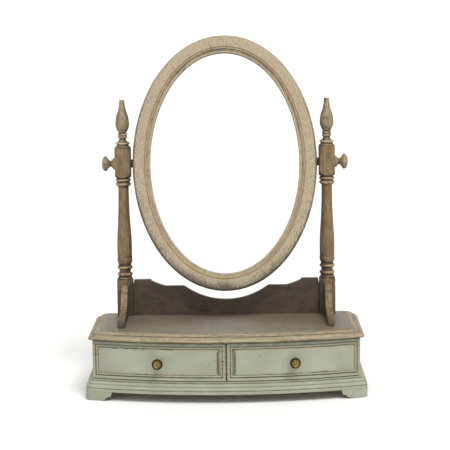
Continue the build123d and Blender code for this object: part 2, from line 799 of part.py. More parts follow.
def oval_plate(margin, front_v, thickness):
    """An oval plate, larger than the sight by a margin, its front at depth v."""
    oval = Plane.XZ * Ellipse(sight_width / 2 + margin, sight_height / 2 + margin)
    return Pos(0, -front_v, 0) * extrude(oval, thickness, dir=(0, 1, 0))


def upright_mirror():
    """The mirror's pieces, upright, with the pivot line along X through the origin."""
    half_sight = sight_width / 2
    path = Plane.XZ * Ellipse(half_sight, sight_height / 2).wire()
    start = Plane(origin=(half_sight, 0, 0), x_dir=(1, 0, 0), z_dir=(0, 0, -1))
    frame = sweep(start * frame_section(), path=path)

    glass_front = frame_thickness / 2 - glass_depth
    margin = rebate_width - rebate_clearance
    glass = oval_plate(margin, glass_front, glass_thickness)
    backing = oval_plate(margin, glass_front - glass_thickness, backing_thickness)

    screw = Rot(90, 0, 0) * Cylinder(backing_screw_diameter / 2, backing_screw_length)
    head = Rot(90, 0, 0) * Cylinder(backing_screw_diameter, 1.2)
    back_y = frame_thickness / 2
    screws = []
    for number in range(backing_screw_count):
        angle = radians(360.0 * (number + 0.5) / backing_screw_count)
        reach = rebate_width + 4.0
        x = (half_sight + reach) * cos(angle)
        z = (sight_height / 2 + reach) * sin(angle)
        whole = Pos(0, back_y - backing_screw_length / 2, 0) * screw + Pos(0, back_y + 0.6, 0) * head
        screws.append(Pos(x, 0, z) * whole)

    length = insert_length
    insert = Cylinder(insert_diameter / 2, length) - Cylinder(bolt_diameter / 2 + insert_clearance, length)
    insert = Pos(-frame_half_width + length / 2, 0, 0) * Rot(0, 90, 0) * insert
    gap = block_inner_x - frame_half_width
    thickness = gap - washer_play
    washer = Cylinder(washer_diameter / 2, thickness) - Cylinder(
        bolt_diameter / 2 + insert_clearance, thickness)
    washer = Pos(-frame_half_width - thickness / 2, 0, 0) * Rot(0, 90, 0) * washer
    socket = Pos(-frame_half_width + length / 2, 0, 0) * Rot(0, 90, 0) * Cylinder(
        insert_diameter / 2, length)
    frame = frame - socket - on_the_right(socket)
    for s in screws:
        frame -= s
    return {
        "mirror_frame": [frame],
        "mirror_glass": [glass],
        "mirror_backing": [backing],
        "backing_screws": screws,
        "left_pivot_insert": [insert],
        "right_pivot_insert": [on_the_right(insert)],
        "left_pivot_washer": [washer],
        "right_pivot_washer": [on_the_right(washer)],
    }


def make_mirror():
    place = Pos(0, post_y, pivot_z) * Rot(-mirror_rest_tilt, 0, 0)
    for name, pieces in upright_mirror().items():
        parts[name] = [place * piece for piece in pieces]


def make_pivot_knobs():
    """Turned knobs outside the posts and the bolts that run from them into the frame."""
    head = knob_head_diameter / 2
    collar = knob_collar_diameter / 2
    knob = turned(turning_outline((collar - 0.8, 0), [
        (collar, 1.2, 0.2),
        (collar - 1.4, 4.0, 0.3),
        (0.49 * collar, 0.33 * knob_projection, -0.9),
        (0.50 * collar, 0.38 * knob_projection, 0),
        (head - 1.2, 0.61 * knob_projection, -0.4),
        (head, 0.69 * knob_projection, 0.2),
        (head - 0.9, 0.78 * knob_projection, 0.2),
        (0.68 * head, 0.93 * knob_projection, 0.7),
        (0, knob_projection, 0),
    ]))
    outside = Pos(-block_outer_x - knob_play, post_y, pivot_z) * Rot(0, -90, 0)
    bolt_start = -block_outer_x - knob_play - bolt_in_knob
    bolt_end = -frame_half_width + insert_length - 2.0
    bolt = Pos((bolt_start + bolt_end) / 2, post_y, pivot_z) * Rot(0, 90, 0) * Cylinder(
        bolt_diameter / 2, bolt_end - bolt_start)
    parts["left_pivot_knob"] = outside * knob - bolt
    parts["left_pivot_bolt"] = bolt
    parts["right_pivot_knob"] = on_the_right(parts["left_pivot_knob"])
    parts["right_pivot_bolt"] = on_the_right(bolt)


# ---- build -------------------------------------------------------------------------

def solids_of(pieces):
    """All solids of a node, whether it was made as one shape or as a list."""
    shapes = pieces if isinstance(pieces, list) else [pieces]
    return [solid for shape in shapes for solid in shape.solids()]


make_top()
make_carcase()
make_plinth()
make_feet()
make_glue_blocks()
make_drawers()
make_stand()
drive_screws()
drive_dowels()
make_mirror()
make_pivot_knobs()

# the origin is on the floor, in the middle of the whole object's width and depth
nodes = {name: Compound(solids_of(pieces)) for name, pieces in parts.items()}
box = Compound([solid for node in nodes.values() for solid in node.solids()]).bounding_box()
centre_y = (box.min.Y + box.max.Y) / 2

os.makedirs("parts", exist_ok=True)
for name, node in nodes.items():
    solids = [Pos(0, -centre_y, 0) * solid for solid in node.solids()]
    export_step(solids[0] if len(solids) == 1 else Compound(solids), f"parts/{name}.step")
print("pivot y, z:", round(post_y - centre_y, 3), round(pivot_z, 3))
print("whole size:", [round(length, 2) for length in box.size])
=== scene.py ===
from math import asin, atan2, cos, pi, radians, sin, sqrt

import bmesh
import bpy
from mathutils import Matrix, Vector


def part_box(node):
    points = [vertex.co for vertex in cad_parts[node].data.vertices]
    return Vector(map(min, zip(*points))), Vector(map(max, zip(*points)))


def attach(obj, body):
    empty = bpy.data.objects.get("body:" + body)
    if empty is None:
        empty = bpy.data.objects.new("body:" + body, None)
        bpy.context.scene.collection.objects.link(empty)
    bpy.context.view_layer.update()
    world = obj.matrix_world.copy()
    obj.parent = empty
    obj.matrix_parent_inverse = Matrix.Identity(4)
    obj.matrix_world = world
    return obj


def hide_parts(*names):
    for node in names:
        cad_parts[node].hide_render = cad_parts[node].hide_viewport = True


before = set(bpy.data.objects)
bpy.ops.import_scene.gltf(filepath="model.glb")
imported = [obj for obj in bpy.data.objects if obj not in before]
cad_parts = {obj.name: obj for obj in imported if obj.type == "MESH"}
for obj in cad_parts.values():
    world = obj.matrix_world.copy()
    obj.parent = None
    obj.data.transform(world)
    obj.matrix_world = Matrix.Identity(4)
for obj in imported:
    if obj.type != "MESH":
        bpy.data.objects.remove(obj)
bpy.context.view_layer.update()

mm = 0.001
scene = bpy.context.scene


# ---- Studio ------------------------------------------------------------------------
# A pale floor that turns up into a backdrop far behind, one wide soft light above, in
# front and to the right, and white surroundings that are dimmer behind the object.

def linear(hex_colour):
    """An sRGB hex colour as linear RGBA."""
    parts = [int(hex_colour[i:i + 2], 16) / 255 for i in (1, 3, 5)]
    return [p / 12.92 if p <= 0.04045 else ((p + 0.055) / 1.055) ** 2.4 for p in parts] + [1.0]


def add(tree, kind, sockets=None, **settings):
    """One node with its settings; each of its inputs gets a value or the output that feeds it."""
    node = tree.nodes.new("ShaderNode" + kind)
    for name, value in settings.items():
        setattr(node, name, value)
    for socket, value in (sockets or {}).items():
        if isinstance(value, bpy.types.NodeSocket):
            tree.links.new(value, node.inputs[socket])
        else:
            node.inputs[socket].default_value = value
    return node


def new_material(name):
    """An empty node material and its tree."""
    material = bpy.data.materials.new(name)
    material.use_nodes = True
    material.node_tree.nodes.clear()
    return material, material.node_tree


def painted_floor():
    """Matt white paint on a board: even, with a hardly visible unevenness of the roller."""
    material, tree = new_material("matt_white_floor_paint")
    place = add(tree, "TexCoord").outputs["Object"]
    roller = add(tree, "TexNoise", {"Vector": place, "Scale": 90.0})
    tone = add(tree, "Mix", {0: roller.outputs["Fac"], 6: linear("#f2f2f0"), 7: linear("#f6f6f4")},
               data_type="RGBA")
    shader = add(tree, "BsdfPrincipled", {"Base Color": tone.outputs[2], "Roughness": 0.75})
    add(tree, "OutputMaterial", {"Surface": shader.outputs[0]})
    return material


def new_verts(result, key="geom"):
    """The vertices among what a bmesh operator has made."""
    return [g for g in result[key] if isinstance(g, bmesh.types.BMVert)]


floor_edge, backdrop_y, cove_radius, backdrop_top = 60.0, 25.0, 6.0, 30.0
floor_mesh = bmesh.new()
edge = [floor_mesh.verts.new((-floor_edge, y, 0)) for y in (-floor_edge, backdrop_y)]
floor_mesh.edges.new(edge)
cove = bmesh.ops.spin(floor_mesh, geom=[edge[1]], cent=(0, backdrop_y, cove_radius), axis=(1, 0, 0),
                      angle=pi / 2, steps=16, use_merge=False, dvec=(0, 0, 0))
cove_top = new_verts(cove, "geom_last")[0]
floor_mesh.edges.new((cove_top, floor_mesh.verts.new((-floor_edge, backdrop_y + cove_radius,
                                                      backdrop_top))))
sheet = bmesh.ops.extrude_edge_only(floor_mesh, edges=floor_mesh.edges[:])
bmesh.ops.translate(floor_mesh, vec=(2 * floor_edge, 0, 0), verts=new_verts(sheet))
floor_data = bpy.data.meshes.new("floor")
floor_mesh.to_mesh(floor_data)
floor_mesh.free()
floor_data.shade_smooth()
floor_data.materials.append(painted_floor())
floor = bpy.data.objects.new("floor", floor_data)
scene.collection.objects.link(floor)

surroundings = bpy.data.worlds.new("white_surroundings")
surroundings.use_nodes = True
sky = surroundings.node_tree
sky.nodes.clear()
direction = add(sky, "SeparateXYZ", {0: add(sky, "TexCoord").outputs["Generated"]})
brightness = add(sky, "MapRange", {"Value": direction.outputs["Y"], "From Min": -0.95,
                                   "From Max": 0.1, "To Min": 1.25, "To Max": 0.3},
                 interpolation_type="SMOOTHSTEP")
glow = add(sky, "Background", {"Color": (1.0, 1.0, 1.0, 1.0), "Strength": brightness.outputs[0]})
sky.links.new(glow.outputs[0], add(sky, "OutputWorld").inputs["Surface"])
scene.world = surroundings
scene.view_settings.view_transform = "Standard"

lamp = bpy.data.lights.new("wide_soft_light", "SUN")
lamp.energy = 2.2
lamp.angle = radians(30)
light = bpy.data.objects.new("wide_soft_light", lamp)
light.rotation_euler = Vector((-0.25, 0.6, -1.0)).to_track_quat("-Z", "Y").to_euler()
scene.collection.objects.link(light)

# The camera stands in front of the middle, a little above the mirror, level but for a
# slight tilt to its side.
pitch, yaw, roll = radians(7.667), radians(-0.485), radians(0.687)
ahead = Vector((sin(yaw) * cos(pitch), cos(yaw) * cos(pitch), -sin(pitch)))
level = Vector((cos(yaw), -sin(yaw), 0))
upward = level.cross(ahead)
lens = bpy.data.cameras.new("camera")
lens.sensor_width = 36.0
lens.lens = 133.5
lens.clip_end = 200.0
camera = bpy.data.objects.new("camera", lens)
camera_axes = (cos(roll) * level - sin(roll) * upward, sin(roll) * level + cos(roll) * upward, -ahead)
camera.matrix_world = Matrix.Translation((0.0299, -3.5792, 0.8394)) @ (
    Matrix(camera_axes).transposed().to_4x4())
scene.collection.objects.link(camera)
scene.camera = camera


# ---- Carcase -----------------------------------------------------------------------
# The box: two sides of 15 mm poplar, a back, a bottom and a divider, glued and painted
# sage outside.  Its front edges follow the bow of the drawer fronts, an arc of 875 mm.

bow_radius = 875 * mm
top_inset = 14.4    # how far the top board stays behind the bow, inside its moulding
flat_radius = bow_radius - top_inset * mm
bow_centre = Vector((0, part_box("top_panel")[0].y + flat_radius, 0))
half_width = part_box("right_side_panel")[1].x
back_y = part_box("carcase_back")[1].y
carcase_low, carcase_high = (c.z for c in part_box("left_side_panel"))
corner = Vector((-half_width, bow_centre.y - sqrt(bow_radius**2 - half_width**2), 0))


def along_x(p):
    return p.x, p.y, p.z


def along_y(p):
    return p.y, p.x, p.z


def along_z(p):
    return p.z, p.x, p.y


def along_bow(p):
    """Place on the bow: along it, up, and out from its centre."""
    away = p - bow_centre
    return bow_radius * atan2(p.x, -away.y), p.z, Vector((away.x, away.y)).length


def mark_edges(bm, grain, name, wear, groove_glaze_and_shade):
    """
    Three attributes that the finishes read.  worn is wear, about 1, on an arris, and 0 on
    a flat.  The second darkens: waxy glaze and painted shade in a corner or groove, painted
    shade on undersides, and more where a darkening layer says so.  grain is the place in
    metres with the wood's grain along X, moved by the piece's own distance so that no boards match.
    """
    worn = bm.verts.layers.float.new("worn")
    grime_and_shade = bm.verts.layers.float.new("grime_and_shade")
    place = bm.verts.layers.float_vector.new("grain")
    darkening = bm.verts.layers.float.get("darkening")
    boards_apart, full, underside_shade = 0.37, radians(32), 0.45
    own = sum(name.encode()) % 97 * boards_apart
    bm.normal_update()
    for v in bm.verts:
        turns = [e.calc_face_angle_signed(0) for e in v.link_edges if len(e.link_faces) == 2]
        v[worn] = wear * min(max(turns + [0]) / full, 1)
        groove = groove_glaze_and_shade * min(-min(turns + [0]) / full, 1)
        # Undersides are darkened as painted shade; corners and grooves get glaze and painted shade
        # together.
        underside_shade_plus_layer = underside_shade * max(-v.normal.z, 0) + (v[darkening] if darkening else 0)
        v[grime_and_shade] = min(groove + underside_shade_plus_layer, 1)
        v[place] = Vector(grain(v.co)) + Vector((own, 0.7 * own, 0.3 * own))


def leave_glaze(bm, share):
    """Leaves some of the waxy glaze all over a piece, where it shows in streaks."""
    darkening = bm.verts.layers.float.new("darkening")
    for v in bm.verts:
        v[darkening] = share


def make_piece(bm, name, finish, body, nodes, grain, wear=1.0, groove_glaze_and_shade=1.0):
    """Closes, turns outward and marks a mesh, and puts it in the place of CAD nodes."""
    bmesh.ops.remove_doubles(bm, verts=bm.verts, dist=0.002 * mm)
    bmesh.ops.recalc_face_normals(bm, faces=bm.faces)
    mark_edges(bm, grain, name, wear, groove_glaze_and_shade)
    mesh = bpy.data.meshes.new(name)
    bm.to_mesh(mesh)
    bm.free()
    mesh.materials.append(finish)
    mesh.shade_smooth()
    mesh.set_sharp_from_angle(angle=radians(35))
    piece = bpy.data.objects.new(name, mesh)
    scene.collection.objects.link(piece)
    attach(piece, body)
    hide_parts(*nodes)
    return piece


sharp_angle = radians(25)


def ease_arrises(bm, radius, fade=4 * mm, margin_on=None):
    """
    Rounds the sharp edges, and gives each wide face, or the faces that margin_on()
    accepts, a margin in which its edges' wear, glaze and painted shade fade out.
    """
    sharp = [e for e in bm.edges if len(e.link_faces) == 2 and e.calc_face_angle(0) > sharp_angle]
    bmesh.ops.bevel(bm, geom=sharp, offset=radius, offset_type="OFFSET", segments=2,
                    profile=0.5, affect="EDGES", clamp_overlap=True, material=-1)
    bmesh.ops.remove_doubles(bm, verts=bm.verts, dist=0.01 * mm)
    margin_on = margin_on or (lambda f: f.calc_area() / max(e.calc_length() for e in f.edges)
                              > 2.2 * fade)
    wide = [f for f in bm.faces if margin_on(f)]
    if wide:
        bmesh.ops.inset_region(bm, faces=wide, thickness=fade, use_boundary=True,
                               use_even_offset=True)


def copy_of(node):
    """A CAD node's shape as a bmesh, its loose triangles merged into whole faces."""
    bm = bmesh.new()
    bm.from_mesh(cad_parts[node].data)
    bmesh.ops.remove_doubles(bm, verts=bm.verts, dist=0.002 * mm)
    bmesh.ops.dissolve_limit(bm, angle_limit=radians(1), verts=bm.verts, edges=bm.edges)
    return bm


def glazed_finish(name, pale, streak, glaze, bare, pores=0.5, streak_width=1.6, worn_share=0.5,
                  glaze_and_shade_share=0.8, roughness=0.62, relief=0.12, cloud=0.35, patches=0.0):
    """
    Open-pored wood that is stained or limed, rubbed with a dark, waxy glaze that stays in
    the pores, corners and grooves, and rubbed through to the bare wood on its arrises.
    The glaze colour also paints shade into corners, grooves and undersides.
    The eye sees long fine streaks along the grain, soft clouds of tone, dark lines in the
    grooves and, where patches is above 0, dark places that the rag missed.  streak_width is
    in mm; pores, 0.4 mm wide in the wood, are drawn 0.8 mm wide, the least that shows, and
    11 mm long.  Clouds are about 45 mm across, missed places 22 by 10 mm, rubbed spots 7 mm.
    """
    material, tree = new_material(name)
    grain = add(tree, "Attribute", attribute_name="grain").outputs["Vector"]
    worn = add(tree, "Attribute", attribute_name="worn").outputs["Fac"]
    grime_and_shade = add(tree, "Attribute", attribute_name="grime_and_shade").outputs["Fac"]

    width = 1000 / streak_width
    streak_place = add(tree, "Mapping", {"Vector": grain, "Scale": (width / 45, width, width)})
    streaks = add(tree, "TexNoise", {"Vector": streak_place.outputs[0], "Scale": 1.0,
                                     "Detail": 3.0, "Roughness": 0.6}).outputs["Fac"]
    pore_place = add(tree, "Mapping", {"Vector": grain, "Scale": (90, 1250, 1250)})
    pore_noise = add(tree, "TexNoise", {"Vector": pore_place.outputs[0], "Scale": 1.0,
                                        "Detail": 1.0}).outputs["Fac"]
    clouds = add(tree, "TexNoise", {"Vector": grain, "Scale": 22.0, "Detail": 4.0,
                                    "Roughness": 0.6}).outputs["Fac"]
    blots = add(tree, "TexNoise", {"Vector": grain, "Scale": 140.0, "Detail": 3.0}).outputs["Fac"]

    streak_share = add(tree, "MapRange", {"Value": streaks, "From Min": 0.35, "From Max": 0.66})
    cloud_share = add(tree, "MapRange", {"Value": clouds, "From Min": 0.42, "From Max": 0.68,
                                         "To Max": cloud})
    pore_share = add(tree, "MapRange", {"Value": pore_noise, "From Min": 0.56, "From Max": 0.68,
                                        "To Max": pores})
    coats = [(cloud_share, bare), (pore_share, glaze)]
    if patches:
        missed_place = add(tree, "Mapping", {"Vector": grain, "Scale": (45, 95, 95)})
        missed = add(tree, "TexNoise", {"Vector": missed_place.outputs[0], "Scale": 1.0,
                                        "Detail": 5.0, "Roughness": 0.65}).outputs["Fac"]
        missed_share = add(tree, "MapRange", {"Value": missed, "From Min": 0.5, "From Max": 0.64,
                                              "To Max": patches})
        coats.append((missed_share, glaze))
    rubbed = add(tree, "Math", {0: worn, 1: blots}, operation="ADD")
    rubbed = add(tree, "MapRange", {"Value": rubbed.outputs[0], "From Min": 1.35 - 0.5 * worn_share,
                                    "From Max": 1.55 - 0.5 * worn_share, "To Max": 0.9})
    glaze_and_shade = add(tree, "Math", {0: streak_share.outputs[0], 1: 0.35, 2: clouds},
                operation="MULTIPLY_ADD")
    # The glaze mask adds the corner, groove and underside darkening, part glaze and part painted
    # shade.
    glaze_and_shade = add(tree, "Math", {0: grime_and_shade, 1: glaze_and_shade.outputs[0]}, operation="ADD")
    glaze_and_shade = add(tree, "MapRange", {"Value": glaze_and_shade.outputs[0], "From Min": 0.85, "From Max": 1.35,
                                   "To Max": glaze_and_shade_share})
    coats += [(rubbed, bare), (glaze_and_shade, glaze)]
    tone = add(tree, "Mix", {0: streak_share.outputs[0], 6: linear(pale), 7: linear(streak)},
               data_type="RGBA")
    for share, colour in coats:
        tone = add(tree, "Mix", {0: share.outputs[0], 6: tone.outputs[2], 7: linear(colour)},
                   data_type="RGBA")

    sheen = add(tree, "MapRange", {"Value": streaks, "To Min": roughness - 0.08,
                                   "To Max": roughness + 0.12})
    height = add(tree, "Math", {0: streak_share.outputs[0], 1: pore_share.outputs[0]},
                 operation="ADD")
    bump = add(tree, "Bump", {"Height": height.outputs[0], "Strength": relief,
                              "Distance": 0.4 * mm}, invert=True)
    shader = add(tree, "BsdfPrincipled", {"Base Color": tone.outputs[2], "IOR": 1.5,
                                          "Roughness": sheen.outputs[0],
                                          "Normal": bump.outputs[0]})
    add(tree, "OutputMaterial", {"Surface": shader.outputs[0]})
    return material


def distressed_paint(name, sage, light, glaze, wood, soil):
    """
    Flat sage paint brushed on wood, rubbed through to the tan wood along its arrises,
    then glazed: brown-green waxy glaze stays in corners, quirks and brush strokes, and is
    flicked on in small dark specks.  The glaze colour also paints shade into corners,
    quirks and undersides.  In places the bare wood has gone dark with soil.
    """
    material, tree = new_material(name)
    grain = add(tree, "Attribute", attribute_name="grain").outputs["Vector"]
    worn = add(tree, "Attribute", attribute_name="worn").outputs["Fac"]
    grime_and_shade = add(tree, "Attribute", attribute_name="grime_and_shade").outputs["Fac"]
    clouds = add(tree, "TexNoise", {"Vector": grain, "Scale": 14.0, "Detail": 3.0}).outputs["Fac"]
    brush_place = add(tree, "Mapping", {"Vector": grain, "Scale": (14, 420, 420)})
    brush = add(tree, "TexNoise", {"Vector": brush_place.outputs[0], "Scale": 1.0,
                                   "Detail": 3.0, "Roughness": 0.65}).outputs["Fac"]
    chip_place = add(tree, "Mapping", {"Vector": grain, "Scale": (70, 210, 210)})
    chips = add(tree, "TexNoise", {"Vector": chip_place.outputs[0], "Scale": 1.0, "Detail": 5.0,
                                   "Roughness": 0.7}).outputs["Fac"]
    specks = add(tree, "TexVoronoi", {"Vector": grain, "Scale": 52.0, "Randomness": 1.0})

    light_share = add(tree, "MapRange", {"Value": clouds, "From Min": 0.4, "From Max": 0.66})
    stroke = add(tree, "MapRange", {"Value": brush, "From Min": 0.52, "From Max": 0.74,
                                    "To Max": 0.12})
    speck = add(tree, "MapRange", {"Value": specks.outputs["Distance"], "From Min": 0.05,
                                   "From Max": 0.09, "To Min": 0.7, "To Max": 0.0})
    # The glaze mask carries the corner, quirk and underside darkening, part glaze and part painted
    # shade.
    glaze_and_shade = add(tree, "Math", {0: grime_and_shade, 1: chips}, operation="ADD")
    glaze_and_shade = add(tree, "MapRange", {"Value": glaze_and_shade.outputs[0], "From Min": 0.78, "From Max": 1.3,
                                   "To Max": 0.85})
    ragged = add(tree, "MapRange", {"Value": chips, "From Min": 0.3, "From Max": 0.7})
    rubbed = add(tree, "Math", {0: worn, 1: ragged.outputs[0]}, operation="ADD")
    rubbed = add(tree, "MapRange", {"Value": rubbed.outputs[0], "From Min": 1.46,
                                    "From Max": 1.58, "To Max": 0.9})
    darkening = add(tree, "MapRange", {"Value": clouds, "From Min": 0.48, "From Max": 0.62})
    laid_bare = add(tree, "Mix", {0: darkening.outputs[0], 6: linear(wood), 7: linear(soil)},
                    data_type="RGBA")
    tone = add(tree, "Mix", {0: light_share.outputs[0], 6: linear(sage), 7: linear(light)},
               data_type="RGBA")
    for share, colour in ((stroke, linear(glaze)), (speck, linear(glaze)),
                          (glaze_and_shade, linear(glaze)), (rubbed, laid_bare.outputs[2])):
        tone = add(tree, "Mix", {0: share.outputs[0], 6: tone.outputs[2], 7: colour},
                   data_type="RGBA")

    relief = add(tree, "Math", {0: brush, 1: rubbed.outputs[0]}, operation="SUBTRACT")
    bump = add(tree, "Bump", {"Height": relief.outputs[0], "Strength": 0.15, "Distance": 0.3 * mm})
    sheen = add(tree, "MapRange", {"Value": brush, "To Min": 0.5, "To Max": 0.75})
    shader = add(tree, "BsdfPrincipled", {"Base Color": tone.outputs[2], "IOR": 1.48,
                                          "Roughness": sheen.outputs[0],
                                          "Normal": bump.outputs[0]})
    add(tree, "OutputMaterial", {"Surface": shader.outputs[0]})
    return material


sage_paint = distressed_paint("distressed_sage_paint", "#8b8e7a", "#979a87", "#4a4531", "#a8906e",
                              "#4f4632")
plain_poplar = glazed_finish("planed_poplar", "#c9b48c", "#b89f74", "#94794f", "#c4a878",
                             pores=0.25, glaze_and_shade_share=0.3, roughness=0.7)

for side in ("left", "right"):
    board = copy_of(side + "_side_panel")
    ease_arrises(board, 0.6 * mm)
    make_piece(board, side + "_side", sage_paint, "base",
               [side + "_side_panel"], along_y)
for node, grain in (("carcase_back", along_x), ("carcase_bottom", along_x),
                    ("centre_divider", along_y), ("plinth_back", along_x),
                    ("plinth_glue_blocks", along_z)):
    board = copy_of(node)
    ease_arrises(board, 0.4 * mm)
    make_piece(board, node + "_board", plain_poplar, "base", [node], grain)


# ---- Plinth ------------------------------------------------------------------------
# A moulding run in poplar under the box: fascia, two ovolos and a fillet.  It is glued
# on round the front and sides, turned round the front corners, and painted.

def section(start, *steps):
    """
    Points of a section in metres from steps in mm.  A step (u, v) is straight; (u, v,
    bulge) is a curve that stands out by bulge to the right of the way, or in if negative.
    Long straights get a point near each end, where wear, glaze and painted shade fade out.
    """
    points = [Vector(start)]
    fade, curve_points = 1.6, 6
    for u, v, *bulge in steps:
        here, there = points[-1], Vector((u, v))
        way = there - here
        if bulge:
            out = Vector((way.y, -way.x)).normalized() * bulge[0]
            for i in range(1, curve_points):
                t = i / curve_points
                points.append(here + way * t + out * 4 * t * (1 - t))
        elif way.length > 3 * fade:
            points += [here + way.normalized() * fade, there - way.normalized() * fade]
        points.append(there)
    return [p * mm for p in points]


def lay(bm, points, to_space, closed=True):
    """A section's points and edges in space; to_space turns (u, v) into a place."""
    verts = [bm.verts.new(to_space(u, v)) for u, v in points]
    pairs = list(zip(verts, verts[1:])) + ([(verts[-1], verts[0])] if closed else [])
    return verts + [bm.edges.new(pair) for pair in pairs]


def spin_round(bm, geom, centre, angle, steps, full=False):
    """Sweeps a section about an upright axis."""
    bmesh.ops.spin(bm, geom=geom, cent=centre, axis=(0, 0, 1), angle=angle, steps=steps,
                   use_merge=full, dvec=(0, 0, 0), use_duplicate=False)


def pull(bm, geom, vector):
    """Draws a section's edges out along a vector."""
    edges = [g for g in geom if isinstance(g, bmesh.types.BMEdge)]
    drawn = bmesh.ops.extrude_edge_only(bm, edges=edges)
    bmesh.ops.translate(bm, vec=vector, verts=new_verts(drawn))


def saw(bm, point, normal):
    """Cuts off what lies on the side that the normal points to."""
    bmesh.ops.bisect_plane(bm, geom=bm.verts[:] + bm.edges[:] + bm.faces[:], dist=0.0005 * mm,
                           plane_co=point, plane_no=normal, clear_outer=True)


def cap_ends(bm):
    bmesh.ops.holes_fill(bm, edges=[e for e in bm.edges if e.is_boundary], sides=0)


def join(bm, other):
    """Adds another mesh to this one."""
    carried = bpy.data.meshes.new("carried")
    other.to_mesh(carried)
    other.free()
    bm.from_mesh(carried)
    bpy.data.meshes.remove(carried)


def on_bow(angle):
    """Section space across the bow at an angle from its middle: u out from the bow, v up."""
    out = Vector((sin(angle), -cos(angle), 0))
    return lambda u, v: bow_centre + out * (bow_radius + u) + Vector((0, 0, v))


def on_side(y):
    """Section space across the left side at y: u out from the carcase, v up."""
    return lambda u, v: Vector((-half_width - u, y, v))


def round_corner(angle):
    """Section space at the left front corner, its way out at an angle from -Y to the left."""
    out = Vector((-sin(angle), -cos(angle), 0))
    return lambda u, v: corner + out * u + Vector((0, 0, v))


def mirrored(bm):
    """The same mesh on the other side of the middle."""
    bmesh.ops.scale(bm, vec=(-1, 1, 1), verts=bm.verts)
    bmesh.ops.reverse_faces(bm, faces=bm.faces)


bow_corner_angle = asin(half_width / bow_radius)
mitre_angle = (pi / 2 + bow_corner_angle) / 2
mitre_normal = Vector((cos(mitre_angle), -sin(mitre_angle), 0))
bow_steps, corner_steps = 48, 8

foot_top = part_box("plinth_front")[0].z / mm
fascia_top = foot_top + 6.5
plinth_top = carcase_low / mm
ovolo_foot = fascia_top + 8.3
plinth_glaze = 0.17
plinth_outer = section(
    (0, foot_top), (15.8, foot_top), (16.4, foot_top + 0.6), (16.4, fascia_top - 0.5),
    (15.7, fascia_top + 0.5), (10.0, ovolo_foot, 2.6), (9.2, ovolo_foot), (9.1, ovolo_foot + 0.9),
    (4.5, plinth_top - 3.5, 1.4), (3.5, plinth_top - 3.5), (3.5, plinth_top - 0.5),
    (3.0, plinth_top), (0, plinth_top))
plinth_lip = section((-8, foot_top), (0, foot_top), (0, plinth_top), (-8, plinth_top))


def corner_turn(start, end):
    """The plinth's outer part round some of the left front corner."""
    turn = bmesh.new()
    spin_round(turn, lay(turn, plinth_outer, round_corner(start)), corner, start - end, corner_steps)
    cap_ends(turn)
    return turn


front = bmesh.new()
spin_round(front, lay(front, plinth_outer, on_bow(-bow_corner_angle)), bow_centre,
           2 * bow_corner_angle, bow_steps)
cap_ends(front)
for flip in (False, True):
    turn = corner_turn(bow_corner_angle, mitre_angle)
    if flip:
        mirrored(turn)
    join(front, turn)
lip = bmesh.new()
spin_round(lip, lay(lip, plinth_lip, on_bow(-bow_corner_angle)), bow_centre,
           2 * bow_corner_angle, bow_steps)
saw(lip, corner, -mitre_normal)
mirrored(lip)
saw(lip, corner, -mitre_normal)
cap_ends(lip)
join(front, lip)
leave_glaze(front, plinth_glaze)
make_piece(front, "plinth_front_moulding", sage_paint, "base", ["plinth_front"],
           along_bow)

for side in ("left", "right"):
    length = Vector((0, back_y - corner.y, 0))
    run = bmesh.new()
    pull(run, lay(run, plinth_outer, on_side(corner.y)), length)
    cap_ends(run)
    join(run, corner_turn(mitre_angle, pi / 2))
    lip = bmesh.new()
    pull(lip, lay(lip, plinth_lip, on_side(corner.y)), length)
    saw(lip, corner, mitre_normal)
    cap_ends(lip)
    join(run, lip)
    if side == "right":
        mirrored(run)
    leave_glaze(run, plinth_glaze)
    make_piece(run, "plinth_" + side + "_moulding", sage_paint, "base",
               ["plinth_" + side], along_y)


# ---- Feet --------------------------------------------------------------------------
# Four bracket feet sawn from 20 mm poplar, glued under the plinth, their outer lower
# edges well rounded, painted with the box.

plinth_reach = 16.5 * mm
toe_radius, toe_darkening, darkening_height = 7.0 * mm, 0.3, 8.0 * mm


def beyond_carcase(p):
    """How far a point lies outside the carcase's outline."""
    left = Vector((-abs(p.x), p.y, 0))
    to_bow = (left - bow_centre).length - bow_radius
    to_side = -half_width - left.x
    if to_side > 0 and atan2(to_side, corner.y - left.y) > bow_corner_angle and left.y < corner.y:
        return (left - corner).length
    return max(to_bow, to_side)


def outer_foot_edge(e):
    """An edge where a foot's outer face meets the floor."""
    return all(v.co.z < 0.1 * mm and beyond_carcase(v.co) > plinth_reach - 0.5 * mm
               for v in e.verts)


for place in ("front_left", "front_right", "back_left", "back_right"):
    node = place + "_foot"
    foot = copy_of(node)
    rounded = [e for e in foot.edges if outer_foot_edge(e)]
    bmesh.ops.bevel(foot, geom=rounded, offset=toe_radius, offset_type="OFFSET", segments=5,
                    profile=0.5, affect="EDGES", clamp_overlap=True, material=-1)
    ease_arrises(foot, 0.5 * mm, fade=3 * mm)
    # The feet are painted darker towards the floor.
    darkening = foot.verts.layers.float.new("darkening")
    for v in foot.verts:
        v[darkening] = toe_darkening * max(1 - v.co.z / darkening_height, 0)
    make_piece(foot, node + "_bracket", sage_paint, "base", [node],
               along_bow if place.startswith("front") else along_y)


# ---- Drawers -----------------------------------------------------------------------
# Two drawers with bowed poplar fronts.  Each front has a raised field inside an applied
# beading, a flat band, a quirk and a round bead, mitred at the corners; all is painted.

